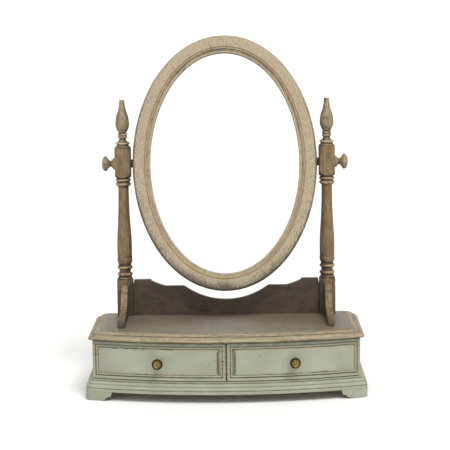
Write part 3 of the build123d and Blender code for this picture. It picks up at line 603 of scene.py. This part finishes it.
front_gap_side, front_thickness, beading_width, beading_depth = 1.4, 20.0, 12.4, 4.0
field_margin, front_steps = 12.6, 28
front_low, front_high = (c.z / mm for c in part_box("left_drawer_front"))
left_x, right_x = -half_width, -front_gap_side * mm
floor_radius = bow_radius - beading_depth * mm
beading = section(
    (0, 0), (0, 3.6), (0.6, 4.0), (5.9, 3.6), (5.9, 0.9), (6.8, 0.9), (6.8, 1.5),
    (12.4, 1.5, -2.8), (12.4, 0))


def bar_on_bow(inner, outer, low, high, x0, x1):
    """A bowed bar between two radii measured from the bow, two heights and two sides."""
    bar = bmesh.new()
    start, end = asin(x0 / (bow_radius + inner * mm)) - 0.01, asin(x1 / bow_radius) + 0.01
    corners = [Vector(c) * mm for c in ((inner, low), (outer, low), (outer, high), (inner, high))]
    spin_round(bar, lay(bar, corners, on_bow(start)), bow_centre, end - start, front_steps)
    saw(bar, (x0, 0, 0), (-1, 0, 0))
    saw(bar, (x1, 0, 0), (1, 0, 0))
    cap_ends(bar)
    return bar


def level_strip(z, upward):
    """Beading along a lower or upper edge of the left front, before its mitres are cut."""
    past = 0.02
    start, end = asin(left_x / floor_radius) - past, asin(right_x / floor_radius) + past
    out = Vector((sin(start), -cos(start), 0))
    place = bow_centre + out * floor_radius + Vector((0, 0, z * mm))
    strip = bmesh.new()
    geom = lay(strip, beading, lambda u, v: place + out * v + Vector((0, 0, u * upward)))
    spin_round(strip, geom, bow_centre, end - start, front_steps)
    return strip


def upright_strip(x, rightward):
    """Beading up a side of the left front, before its mitres are cut."""
    angle = asin(x / floor_radius)
    out, across = Vector((sin(angle), -cos(angle), 0)), Vector((cos(angle), sin(angle), 0))
    place = bow_centre + out * floor_radius + Vector((0, 0, front_low * mm))
    strip = bmesh.new()
    geom = lay(strip, beading, lambda u, v: place + out * v + across * u * rightward)
    pull(strip, geom, Vector((0, 0, (front_high - front_low) * mm)))
    return strip


def cut_mitre(strip, x, way, z, upward, level):
    """Saws off a level or an upright strip where the two meet, at a corner of the front."""
    angle = asin(x / floor_radius)
    at = bow_centre + Vector((sin(angle), -cos(angle), 0)) * floor_radius
    at.z = z * mm
    across = Vector((cos(angle), sin(angle), 0)) * way
    cut = Vector((0, 0, upward)) - across
    saw(strip, at, cut if level else -cut)


def field_face(f):
    """A face of the field's bowed front, 50 mm2 or more, unlike its sides and eased edges."""
    out = along_bow(f.calc_center_median())[2]
    return out > bow_radius - 0.05 * mm and f.calc_area() > 50 * mm**2


for side in ("left", "right"):
    shell = bar_on_bow(-front_thickness, -beading_depth, front_low, front_high, left_x, right_x)
    field = bar_on_bow(-beading_depth, 0, front_low + field_margin, front_high - field_margin,
                       left_x + field_margin * cos(bow_corner_angle) * mm,
                       right_x - field_margin * mm)
    ease_arrises(shell, 0.5 * mm)
    ease_arrises(field, 0.9 * mm, fade=6 * mm, margin_on=field_face)
    join(shell, field)
    if side == "right":
        mirrored(shell)
    make_piece(shell, side + "_drawer_panel", sage_paint, side + "_drawer",
               [side + "_drawer_front"], along_bow, wear=1.7, groove_glaze_and_shade=0.5)

    strips = bmesh.new()
    ends, levels = ((left_x, 1), (right_x, -1)), ((front_low, 1), (front_high, -1))
    for z, up in levels:
        strip = level_strip(z, up)
        for x, way in ends:
            cut_mitre(strip, x, way, z, up, level=True)
        cap_ends(strip)
        join(strips, strip)
    for x, way in ends:
        strip = upright_strip(x, way)
        for z, up in levels:
            cut_mitre(strip, x, way, z, up, level=False)
        cap_ends(strip)
        join(strips, strip)
    if side == "right":
        mirrored(strips)
    # The bead frame gets a little glaze all round, and its top band is painted darker as a painted
    # shadow of the overhanging top moulding.
    darkening = strips.verts.layers.float.new("darkening")
    for v in strips.verts:
        below_top = front_high - v.co.z / mm
        v[darkening] = 0.12 + 0.38 * max(1 - below_top / beading_width, 0)
    make_piece(strips, side + "_drawer_bead_frame", sage_paint, side + "_drawer",
               [side + "_drawer_beading"], along_bow, wear=0.9, groove_glaze_and_shade=0.75)

    for part, grain in (("outer_side", along_y), ("inner_side", along_y), ("back", along_x),
                        ("bottom", along_x)):
        node = side + "_drawer_" + part
        board = copy_of(node)
        make_piece(board, node + "_board", plain_poplar, side + "_drawer", [node],
                   grain)


# ---- Drawer knobs ------------------------------------------------------------------
# Cast brass, turned, with a flange, a waisted neck and a dished head with a button.  An
# antique finish has darkened it; handling has rubbed the rim and the button bright.

def turn_up(bm, points, steps=48):
    """A solid turned about Z from its half section (radius, height), from axis to axis."""
    geom = lay(bm, points, lambda u, v: Vector((u, 0, v)), closed=False)
    spin_round(bm, geom, (0, 0, 0), 2 * pi, steps, full=True)
    bmesh.ops.remove_doubles(bm, verts=bm.verts, dist=0.002 * mm)


def antique_brass():
    """Cast brass, chemically darkened and lacquered: brown-black in hollows, dull gold on
    the high places, with a fine cast grain of about 0.5 mm."""
    material, tree = new_material("antique_cast_brass")
    place = add(tree, "TexCoord").outputs["Object"]
    handled = add(tree, "Attribute", attribute_name="handled").outputs["Fac"]
    grime_and_shade = add(tree, "Attribute", attribute_name="grime_and_shade").outputs["Fac"]
    cast = add(tree, "TexNoise", {"Vector": place, "Scale": 900.0, "Detail": 3.0}).outputs["Fac"]
    patches = add(tree, "TexNoise", {"Vector": place, "Scale": 160.0, "Detail": 3.0}).outputs["Fac"]
    age = add(tree, "MapRange", {"Value": patches, "From Min": 0.35, "From Max": 0.65})
    # The dark mix is patina in the hollows, and painted shade on undersides and on the knob's outer
    # rim.
    dark = add(tree, "Math", {0: grime_and_shade, 1: patches}, operation="ADD")
    dark = add(tree, "MapRange", {"Value": dark.outputs[0], "From Min": 0.7, "From Max": 1.2})
    bright = add(tree, "Math", {0: handled, 1: patches}, operation="MULTIPLY")
    bright = add(tree, "MapRange", {"Value": bright.outputs[0], "From Min": 0.1, "From Max": 0.6,
                                    "To Max": 0.85})
    tone = add(tree, "Mix", {0: age.outputs[0], 6: linear("#4d4129"), 7: linear("#372e1d")},
               data_type="RGBA")
    for share, colour in ((dark, "#2e2618"), (bright, "#9a8350")):
        tone = add(tree, "Mix", {0: share.outputs[0], 6: tone.outputs[2], 7: linear(colour)},
                   data_type="RGBA")
    dull = add(tree, "MapRange", {"Value": patches, "To Min": 0.3, "To Max": 0.5})
    bump = add(tree, "Bump", {"Height": cast, "Strength": 0.15, "Distance": 0.2 * mm})
    shader = add(tree, "BsdfPrincipled", {"Base Color": tone.outputs[2], "Metallic": 1.0,
                                          "Roughness": dull.outputs[0],
                                          "Normal": bump.outputs[0]})
    add(tree, "OutputMaterial", {"Surface": shader.outputs[0]})
    return material


brass = antique_brass()
knob_outline = section(
    (0, 0), (7.0, 0), (7.0, 1.2), (4.2, 3.0, -0.6), (4.4, 8.4, -0.3), (11.5, 15.2, -2.2),
    (11.4, 16.2), (9.0, 18.5, 1.2), (7.1, 16.9), (3.2, 16.4, -0.4), (2.8, 18.2), (1.6, 19.0, 0.2),
    (0, 19.1))
for side, way in (("left", -1), ("right", 1)):
    low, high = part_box(side + "_drawer_knob")
    middle_x = way * (half_width + front_gap_side * mm) / 2
    angle = asin(middle_x / bow_radius)
    knob = bmesh.new()
    turn_up(knob, knob_outline)
    handled = knob.verts.layers.float.new("handled")
    darkening = knob.verts.layers.float.new("darkening")
    for v in knob.verts:
        radius = sqrt(v.co.x**2 + v.co.y**2) / mm
        v[handled] = float(v.co.z > 16 * mm and radius < 8.5)
        # The outer rim is painted dark as painted shade on the knob's side; the groove round the
        # button holds dark patina.
        v[darkening] = 0.6 * float(radius > 9.2 or 2.5 < radius < 4)
    seat = bow_centre + Vector((sin(angle), -cos(angle), 0)) * bow_radius
    seat.z = (low.z + high.z) / 2
    bmesh.ops.transform(knob, verts=knob.verts, matrix=Matrix.Translation(seat)
                        @ Matrix.Rotation(angle, 4, "Z") @ Matrix.Rotation(pi / 2, 4, "X"))
    make_piece(knob, side + "_drawer_pull", brass, side + "_drawer",
               [side + "_drawer_knob"], along_x)


# ---- Top ---------------------------------------------------------------------------
# One limed board, weathered grey by wear and painted darker still as painted shade, inside
# an edge moulding: a flat ovolo, a quirk and a nosing, glued on and mitred at the front corners.

# The top board is a darker copy of the limed oak of its moulding: weathered grey, and darker still as
# painted shade of the mirror and back board.
weathered_shaded_top = glazed_finish("weathered_shaded_limed_oak_top", "#7d7361", "#5c5445", "#38342a",
                              "#7f6b4e", pores=0.9, streak_width=2.2, cloud=0.4,
                              roughness=0.5, patches=0.35)
limed_edge = glazed_finish("limed_oak_moulding", "#a89b80", "#7b6e57", "#3f392c", "#a38761",
                           pores=0.9, streak_width=2.0, relief=0.2, glaze_and_shade_share=0.95,
                           patches=0.3)

panel_half_width, top_back_y, top_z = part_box("top_panel")[1]
panel = bmesh.new()
side_angle = asin(panel_half_width / flat_radius)
start = panel.verts.new(bow_centre + Vector((-sin(side_angle), -cos(side_angle), 0)) * flat_radius)
spin_round(panel, [start], bow_centre, 2 * side_angle, 40)
panel.verts.ensure_lookup_table()
ends = [v for v in panel.verts if len(v.link_edges) == 1]
ends.sort(key=lambda v: v.co.x)
back = [panel.verts.new((way * panel_half_width, top_back_y, 0)) for way in (-1, 1)]
for pair in ((ends[0], back[0]), (back[0], back[1]), (back[1], ends[1])):
    panel.edges.new(pair)
bmesh.ops.edgenet_fill(panel, edges=panel.edges)
bmesh.ops.translate(panel, verts=panel.verts, vec=(0, 0, carcase_high))
raised = bmesh.ops.extrude_face_region(panel, geom=panel.faces[:])
bmesh.ops.translate(panel, vec=(0, 0, top_z - carcase_high), verts=new_verts(raised))
ease_arrises(panel, 0.6 * mm, fade=5 * mm)
make_piece(panel, "top_board", weathered_shaded_top, "base", ["top_panel"], along_x)

inner, tip = -top_inset, 9.6
flat = top_z / mm
step = flat - 1.0
quirk_u, quirk_v, tip_v = inner + 12.96, flat - 4.75, flat - 12.54
edge_moulding = section(
    (inner, carcase_high / mm), (inner, step), (inner + 2.5, step), (quirk_u, quirk_v, -1.1),
    (quirk_u, quirk_v - 1.0), (tip, tip_v, -1.6), (tip - 1.2, tip_v - 3.2, -0.5),
    (tip - 5.0, tip_v - 4.94), (0, carcase_high / mm))
past = 40 * mm
front = bmesh.new()
half_angle = asin((half_width + past) / bow_radius)
spin_round(front, lay(front, edge_moulding, on_bow(-half_angle)), bow_centre, 2 * half_angle, 56)
saw(front, corner, -mitre_normal)
mirrored(front)
saw(front, corner, -mitre_normal)
cap_ends(front)
make_piece(front, "top_front_moulding", limed_edge, "base", ["top_moulding_front"],
           along_bow, wear=0.7)
for side in ("left", "right"):
    run = bmesh.new()
    pull(run, lay(run, edge_moulding, on_side(corner.y - past)),
         Vector((0, top_back_y - corner.y + past, 0)))
    saw(run, corner, mitre_normal)
    cap_ends(run)
    if side == "right":
        mirrored(run)
    leave_glaze(run, 0.25)
    make_piece(run, "top_" + side + "_moulding", limed_edge, "base",
               ["top_moulding_" + side], along_y, wear=0.6)


# ---- Posts and finials -------------------------------------------------------------
# Turned hardwood posts with two square blocks left on them, and separate finials pegged
# into their tops.  Stained brown, glazed dark in the turnings, rubbed light on the beads;
# undersides and the side towards the mirror are painted darker as painted shade;
# the finials and the mirror's knobs are rubbed paler all over.

turned_wood = glazed_finish("glazed_turned_hardwood", "#836745", "#64502f", "#2b261b", "#a08660",
                            pores=0.6, glaze_and_shade_share=0.95, cloud=0.4, worn_share=0.75,
                            patches=0.5)
rubbed_wood = glazed_finish("rubbed_turned_hardwood", "#9a8464", "#77684c", "#33302a", "#b09874",
                            pores=0.6, glaze_and_shade_share=0.9, cloud=0.4, worn_share=0.75, patches=0.6)
post_low, post_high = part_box("right_post")
post_axis = (post_low + post_high) / 2
half_block, post_top = post_high.x - post_axis.x, post_high.z
square, lower_block = 25.6, 86.0
post_outline = section(
    (0, 0), (square, 0), (square, 73.0), (24.4, 76.5), (17.0, 82.0, 1.0), (16.3, 84.2),
    (15.4, 85.6), (14.4, 86.4), (14.8, 89.0), (14.8, 96.5, 2.2), (12.9, 101.0, -1.5),
    (14.4, 104.5, -0.6), (14.4, 112.0, 2.6), (13.8, 115.0), (16.1, 131.0, 1.6),
    (15.1, 189.0, 0.8), (11.6, 285.5, -0.9), (13.1, 290.0, -0.5), (14.7, 290.5),
    (14.7, 298.0, 2.3), (13.4, 299.2), (14.9, 300.4), (14.9, 306.8, 2.2), (13.6, 308.0),
    (16.4, 309.0), (24.4, 317.0, 1.4), (square, 320.5), (square, 367.5), (24.4, 370.5),
    (17.1, 375.6, 1.0), (16.4, 377.2), (15.4, 378.3), (13.6, 378.9), (13.6, 381.5), (0, 381.5))
finial_outline = section(
    (0, 0), (13.8, 0), (13.8, 1.0), (16.0, 2.0), (16.0, 3.6), (15.2, 4.8), (7.5, 12.2, -1.6),
    (7.5, 13.2), (9.7, 14.4), (9.7, 18.6, 0.9), (8.5, 19.2), (8.5, 19.8), (9.7, 20.4),
    (9.7, 24.4, 0.9), (8.3, 25.4), (8.3, 27.0), (11.9, 32.7, 0.6), (15.3, 44.5, 0.7),
    (14.3, 56.5, 0.3), (12.1, 65.8, 0.3), (8.9, 75.0, -0.1), (7.1, 84.0, -0.15),
    (5.8, 95.5, -0.1), (4.6, 98.4, 0.4), (0, 99.0))


def square_blocks(bm):
    """
    Planes the uncut parts of a turning square, its four arrises slightly rounded.  A line
    of glaze stays round each planed face, and the whole lower block is painted darker as
    painted shade behind the bracket.
    """
    darkening = bm.verts.layers.float.new("darkening")
    line, arris_share, lower_block_shade = 1.5 * mm, 1.385, 0.3
    for v in bm.verts:
        reach = max(abs(v.co.x), abs(v.co.y), 0.01 * mm)
        radius = sqrt(v.co.x**2 + v.co.y**2)
        v[darkening] = 0.5 * float(abs(reach - half_block) < line and radius > half_block - 0.1 * mm)
        # Painted shade: the lower block is darker all over.
        v[darkening] += lower_block_shade * float(v.co.z < lower_block * mm)
        keep = min(1, half_block / reach, half_block * arris_share / max(radius, 0.01 * mm))
        v.co.x *= keep
        v.co.y *= keep


def shade_inner_side(bm, inward):
    """Painted shade: darkens the side towards the mirror, as if less light reached it."""
    darkening = bm.verts.layers.float.get("darkening") or bm.verts.layers.float.new("darkening")
    for v in bm.verts:
        radius = max(sqrt(v.co.x**2 + v.co.y**2), 1 * mm)
        v[darkening] += 0.6 * max(inward * v.co.x / radius, 0)


for side, way in (("left", -1), ("right", 1)):
    place = Vector((way * post_axis.x, post_axis.y, top_z))
    post = bmesh.new()
    turn_up(post, post_outline, 96)
    square_blocks(post)
    shade_inner_side(post, -way)
    bmesh.ops.translate(post, verts=post.verts, vec=place)
    make_piece(post, side + "_turned_post", turned_wood, "base", [side + "_post"],
               along_z)
    finial = bmesh.new()
    turn_up(finial, finial_outline)
    shade_inner_side(finial, -way)
    bmesh.ops.translate(finial, verts=finial.verts, vec=(place.x, place.y, post_top))
    make_piece(finial, side + "_turned_finial", rubbed_wood, "base",
               [side + "_finial"], along_z)


# ---- Brackets and back board -------------------------------------------------------
# Shaped boards, fretsawn and screwed from below: a bracket in front of each post, stained
# like it, and a scalloped board between the posts, stained dark brown.

bracket_wood = glazed_finish("glazed_bracket_wood", "#735f41", "#58482f", "#27231a", "#957c55",
                             pores=0.6, cloud=0.45, worn_share=0.6, patches=0.6)
dark_board_wood = glazed_finish("dark_stained_board", "#4b3a2a", "#35281c", "#1c1611", "#5c4730",
                                pores=0.6, cloud=0.5, roughness=0.55, patches=0.5)
toe_height = 7 * mm
notch_height, notch_width = 16, 3    # mm sawn slantwise off the back board's upper ends

for side, inward in (("left", 1), ("right", -1)):
    board = copy_of(side + "_bracket")
    ease_arrises(board, 1.0 * mm, fade=3 * mm)
    board.normal_update()
    # Each bracket is darker all over and darker towards its foot on the top board; its side towards
    # the mirror is painted darker as painted shade.
    darkening = board.verts.layers.float.new("darkening")
    for v in board.verts:
        toe_share = max(1 - (v.co.z - top_z) / toe_height, 0)
        v[darkening] = 0.3 + 0.35 * max(inward * v.normal.x, 0) + 0.5 * toe_share
    make_piece(board, side + "_shaped_bracket", bracket_wood, "base",
               [side + "_bracket"], along_z)
board = copy_of("back_board")
board_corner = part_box("back_board")[1]
for way in (-1, 1):
    saw(board, (way * board_corner.x, 0, board_corner.z - notch_height * mm),
        (way * notch_height, 0, notch_width))
    cap_ends(board)
ease_arrises(board, 1.0 * mm, fade=3 * mm)
make_piece(board, "scalloped_back_board", dark_board_wood, "base",
           ["back_board"], along_x)


# ---- Mirror ------------------------------------------------------------------------
# An oval frame of limed oak, routed round its inside with a lip, a cove, a quirk and a
# bead, rounded outside.  Its face is brushed up and down, so the streaks stand upright.

limed_frame = glazed_finish("limed_oak_frame", "#b0a288", "#8c7f68", "#41392c", "#9a7850",
                            pores=0.7, streak_width=1.5, worn_share=0.85, cloud=0.15,
                            glaze_and_shade_share=0.9)
frame_low, frame_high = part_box("mirror_frame")
tilt = radians(12)
pivot = Vector((0, post_axis.y, (frame_low.z + frame_high.z) / 2))
sight_x, sight_z, face_v, glass_lap = 164.5, 244.5, 11.0, 7.0
rim_v = face_v - 5.5
frame_section = section(
    (0, 1.0), (0, 3.4), (3.2, 4.6, -0.5), (5.2, 3.8, -0.2), (8.3, 7.4, 0.9), (8.8, 7.4),
    (10.4, 10.0, -0.5), (12.4, 9.0, -0.4), (13.0, 9.0), (13.0, 10.6), (13.8, 11.0),
    (33.5, 11.0), (39.0, rim_v, -1.6), (39.0, -9.0), (37.0, -11.0), (8.0, -11.0), (8.0, 1.0),
    (0, 1.0))

oval = bmesh.new()
bmesh.ops.create_circle(oval, segments=192, radius=1.0)
outward = oval.verts.layers.float_vector.new("outward")
darkening = oval.verts.layers.float.new("darkening")
rim_u, margin_u, lip_back_v = 34.0 * mm, 30.0 * mm, 1.0 * mm
for v in oval.verts:
    x, z = v.co.x, v.co.y
    v.co = Vector((x * sight_x * mm, -frame_section[0][1], z * sight_z * mm))
    v[outward] = Vector((x / sight_x, 0, z / sight_z)).normalized()
    # The lip's edge against the glass is painted dark: painted shade where the lip meets the glass.
    v[darkening] = 1.0
ring = oval.edges[:]
for (u0, v0), (u1, v1) in zip(frame_section, frame_section[1:]):
    drawn = bmesh.ops.extrude_edge_only(oval, edges=ring)
    ring = [g for g in drawn["geom"] if isinstance(g, bmesh.types.BMEdge)]
    for v in new_verts(drawn):
        v.co += v[outward] * (u1 - u0) + Vector((0, v0 - v1, 0))
        v[darkening] = float(abs(v1 - lip_back_v) < 0.01 * mm)
        # The outer rim is darker all round, and it and the face's margin are painted darker towards
        # the bottom as painted shade on faces turned down.
        if u1 > rim_u:
            v[darkening] = 0.45 - 0.35 * v[outward].z
        elif u1 > margin_u:
            v[darkening] = 0.65 * max(-v[outward].z, 0)
lean = Matrix.Translation(pivot) @ Matrix.Rotation(-tilt, 4, "X")
bmesh.ops.transform(oval, verts=oval.verts, matrix=lean)
make_piece(oval, "oval_frame", limed_frame, "mirror", ["mirror_frame"], along_z,
           groove_glaze_and_shade=0.5)


def silvered_glass():
    """
    Float glass silvered on its back: a clear mirror with the faint green of its thickness.
    Only the silvered part is made, set back as deep as the reflection seems to lie.
    """
    material, tree = new_material("silvered_float_glass")
    place = add(tree, "TexCoord").outputs["Object"]
    waves = add(tree, "TexNoise", {"Vector": place, "Scale": 4.0, "Detail": 1.0}).outputs["Fac"]
    tone = add(tree, "Mix", {0: waves, 6: linear("#f3f7f4"), 7: linear("#f7faf8")},
               data_type="RGBA")
    haze = add(tree, "MapRange", {"Value": waves, "To Min": 0.015, "To Max": 0.03})
    shader = add(tree, "BsdfPrincipled", {"Base Color": tone.outputs[2], "Metallic": 1.0,
                                          "Roughness": haze.outputs[0]})
    add(tree, "OutputMaterial", {"Surface": shader.outputs[0]})
    return material


def dress_node(node, material):
    """Gives a CAD node that stays as it is a new finish."""
    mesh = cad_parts[node].data
    mesh.materials.clear()
    mesh.materials.append(material)


glass_v, silver_v = -3.0, -1.6
pane = bmesh.new()
bmesh.ops.create_circle(pane, segments=192, radius=1.0, cap_ends=True)
for v in pane.verts:
    v.co = Vector((v.co.x * (sight_x + glass_lap) * mm, -glass_v * mm,
                   v.co.y * (sight_z + glass_lap) * mm))
face = bmesh.ops.extrude_face_region(pane, geom=pane.faces[:])
bmesh.ops.translate(pane, vec=(0, (glass_v - silver_v) * mm, 0), verts=new_verts(face))
bmesh.ops.transform(pane, verts=pane.verts, matrix=lean)
make_piece(pane, "silvered_pane", silvered_glass(), "mirror", ["mirror_glass"],
           along_z)


def small_metal(name, bright, dull, roughness):
    """Turned or rolled metal of screws and inserts, plated or plain, dulled in patches."""
    material, tree = new_material(name)
    place = add(tree, "TexCoord").outputs["Object"]
    patches = add(tree, "TexNoise", {"Vector": place, "Scale": 300.0, "Detail": 3.0}).outputs["Fac"]
    tone = add(tree, "Mix", {0: patches, 6: linear(bright), 7: linear(dull)}, data_type="RGBA")
    dullness = add(tree, "MapRange", {"Value": patches, "To Min": roughness - 0.1,
                                      "To Max": roughness + 0.1})
    shader = add(tree, "BsdfPrincipled", {"Base Color": tone.outputs[2], "Metallic": 1.0,
                                          "Roughness": dullness.outputs[0]})
    add(tree, "OutputMaterial", {"Surface": shader.outputs[0]})
    return material


def pressed_fibre(name, light, dark, grit):
    """Pressed fibre: hardboard or vulcanised paper, matt, with a fine felted grain of
    about grit mm."""
    material, tree = new_material(name)
    place = add(tree, "TexCoord").outputs["Object"]
    felt = add(tree, "TexNoise", {"Vector": place, "Scale": 1000 / grit, "Detail": 4.0,
                                  "Roughness": 0.7}).outputs["Fac"]
    share = add(tree, "MapRange", {"Value": felt, "From Min": 0.35, "From Max": 0.65})
    tone = add(tree, "Mix", {0: share.outputs[0], 6: linear(light), 7: linear(dark)},
               data_type="RGBA")
    rough = add(tree, "MapRange", {"Value": felt, "To Min": 0.7, "To Max": 0.9})
    bump = add(tree, "Bump", {"Height": felt, "Strength": 0.2, "Distance": 0.2 * mm})
    shader = add(tree, "BsdfPrincipled", {"Base Color": tone.outputs[2],
                                          "Roughness": rough.outputs[0],
                                          "Normal": bump.outputs[0]})
    add(tree, "OutputMaterial", {"Surface": shader.outputs[0]})
    return material


zinc_steel = small_metal("zinc_plated_steel", "#b9bcc0", "#8f9296", 0.38)
insert_brass = small_metal("machined_brass", "#c8a75e", "#a3854a", 0.32)
dress_node("mirror_backing", pressed_fibre("brown_hardboard", "#7d5f41", "#6a4f35", 2.0))
dark_fibre = pressed_fibre("black_vulcanised_fibre", "#24282a", "#33383a", 1.0)
for node in ("backing_screws", "post_screws", "bracket_screws", "back_board_screws",
             "left_drawer_knob_screw", "right_drawer_knob_screw", "left_pivot_bolt",
             "right_pivot_bolt"):
    dress_node(node, zinc_steel)
for side in ("left", "right"):
    dress_node(side + "_pivot_insert", insert_brass)
    dress_node(side + "_pivot_washer", dark_fibre)


def plain_dowel():
    """Turned beech rod: pale, with short fine flecks along the rod."""
    material, tree = new_material("beech_dowel_rod")
    place = add(tree, "TexCoord").outputs["Object"]
    flecks = add(tree, "Mapping", {"Vector": place, "Scale": (1200, 1200, 200)})
    noise = add(tree, "TexNoise", {"Vector": flecks.outputs[0], "Scale": 1.0}).outputs["Fac"]
    tone = add(tree, "Mix", {0: noise, 6: linear("#d9bd93"), 7: linear("#b8986a")},
               data_type="RGBA")
    rough = add(tree, "MapRange", {"Value": noise, "To Min": 0.55, "To Max": 0.7})
    shader = add(tree, "BsdfPrincipled", {"Base Color": tone.outputs[2],
                                          "Roughness": rough.outputs[0]})
    add(tree, "OutputMaterial", {"Surface": shader.outputs[0]})
    return material


dress_node("top_dowels", plain_dowel())


# ---- Pivot knobs -------------------------------------------------------------------
# Turned hardwood knobs outside the posts, each fixed on the head of the bolt that holds
# the mirror.  Rubbed pale like the finials.

pivot_outline = section(
    (0, 0), (12.2, 0), (13.0, 1.3, 0.2), (11.6, 4.2, 0.3), (6.5, 9.4, -0.9), (6.6, 11.0),
    (15.8, 17.6, -0.4), (17.0, 19.8, 0.3), (16.1, 22.4, 0.2), (11.6, 26.6, 0.7), (5.0, 28.4, 0.3),
    (0, 28.7))
for side, way in (("left", -1), ("right", 1)):
    low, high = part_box(side + "_pivot_knob")
    seat = Vector((low.x if way > 0 else high.x, post_axis.y, (low.z + high.z) / 2))
    knob = bmesh.new()
    turn_up(knob, pivot_outline)
    bmesh.ops.transform(knob, verts=knob.verts, matrix=Matrix.Translation(seat)
                        @ Matrix.Rotation(way * pi / 2, 4, "Y"))
    make_piece(knob, side + "_turned_knob", rubbed_wood, side + "_knob",
               [side + "_pivot_knob"], along_x)
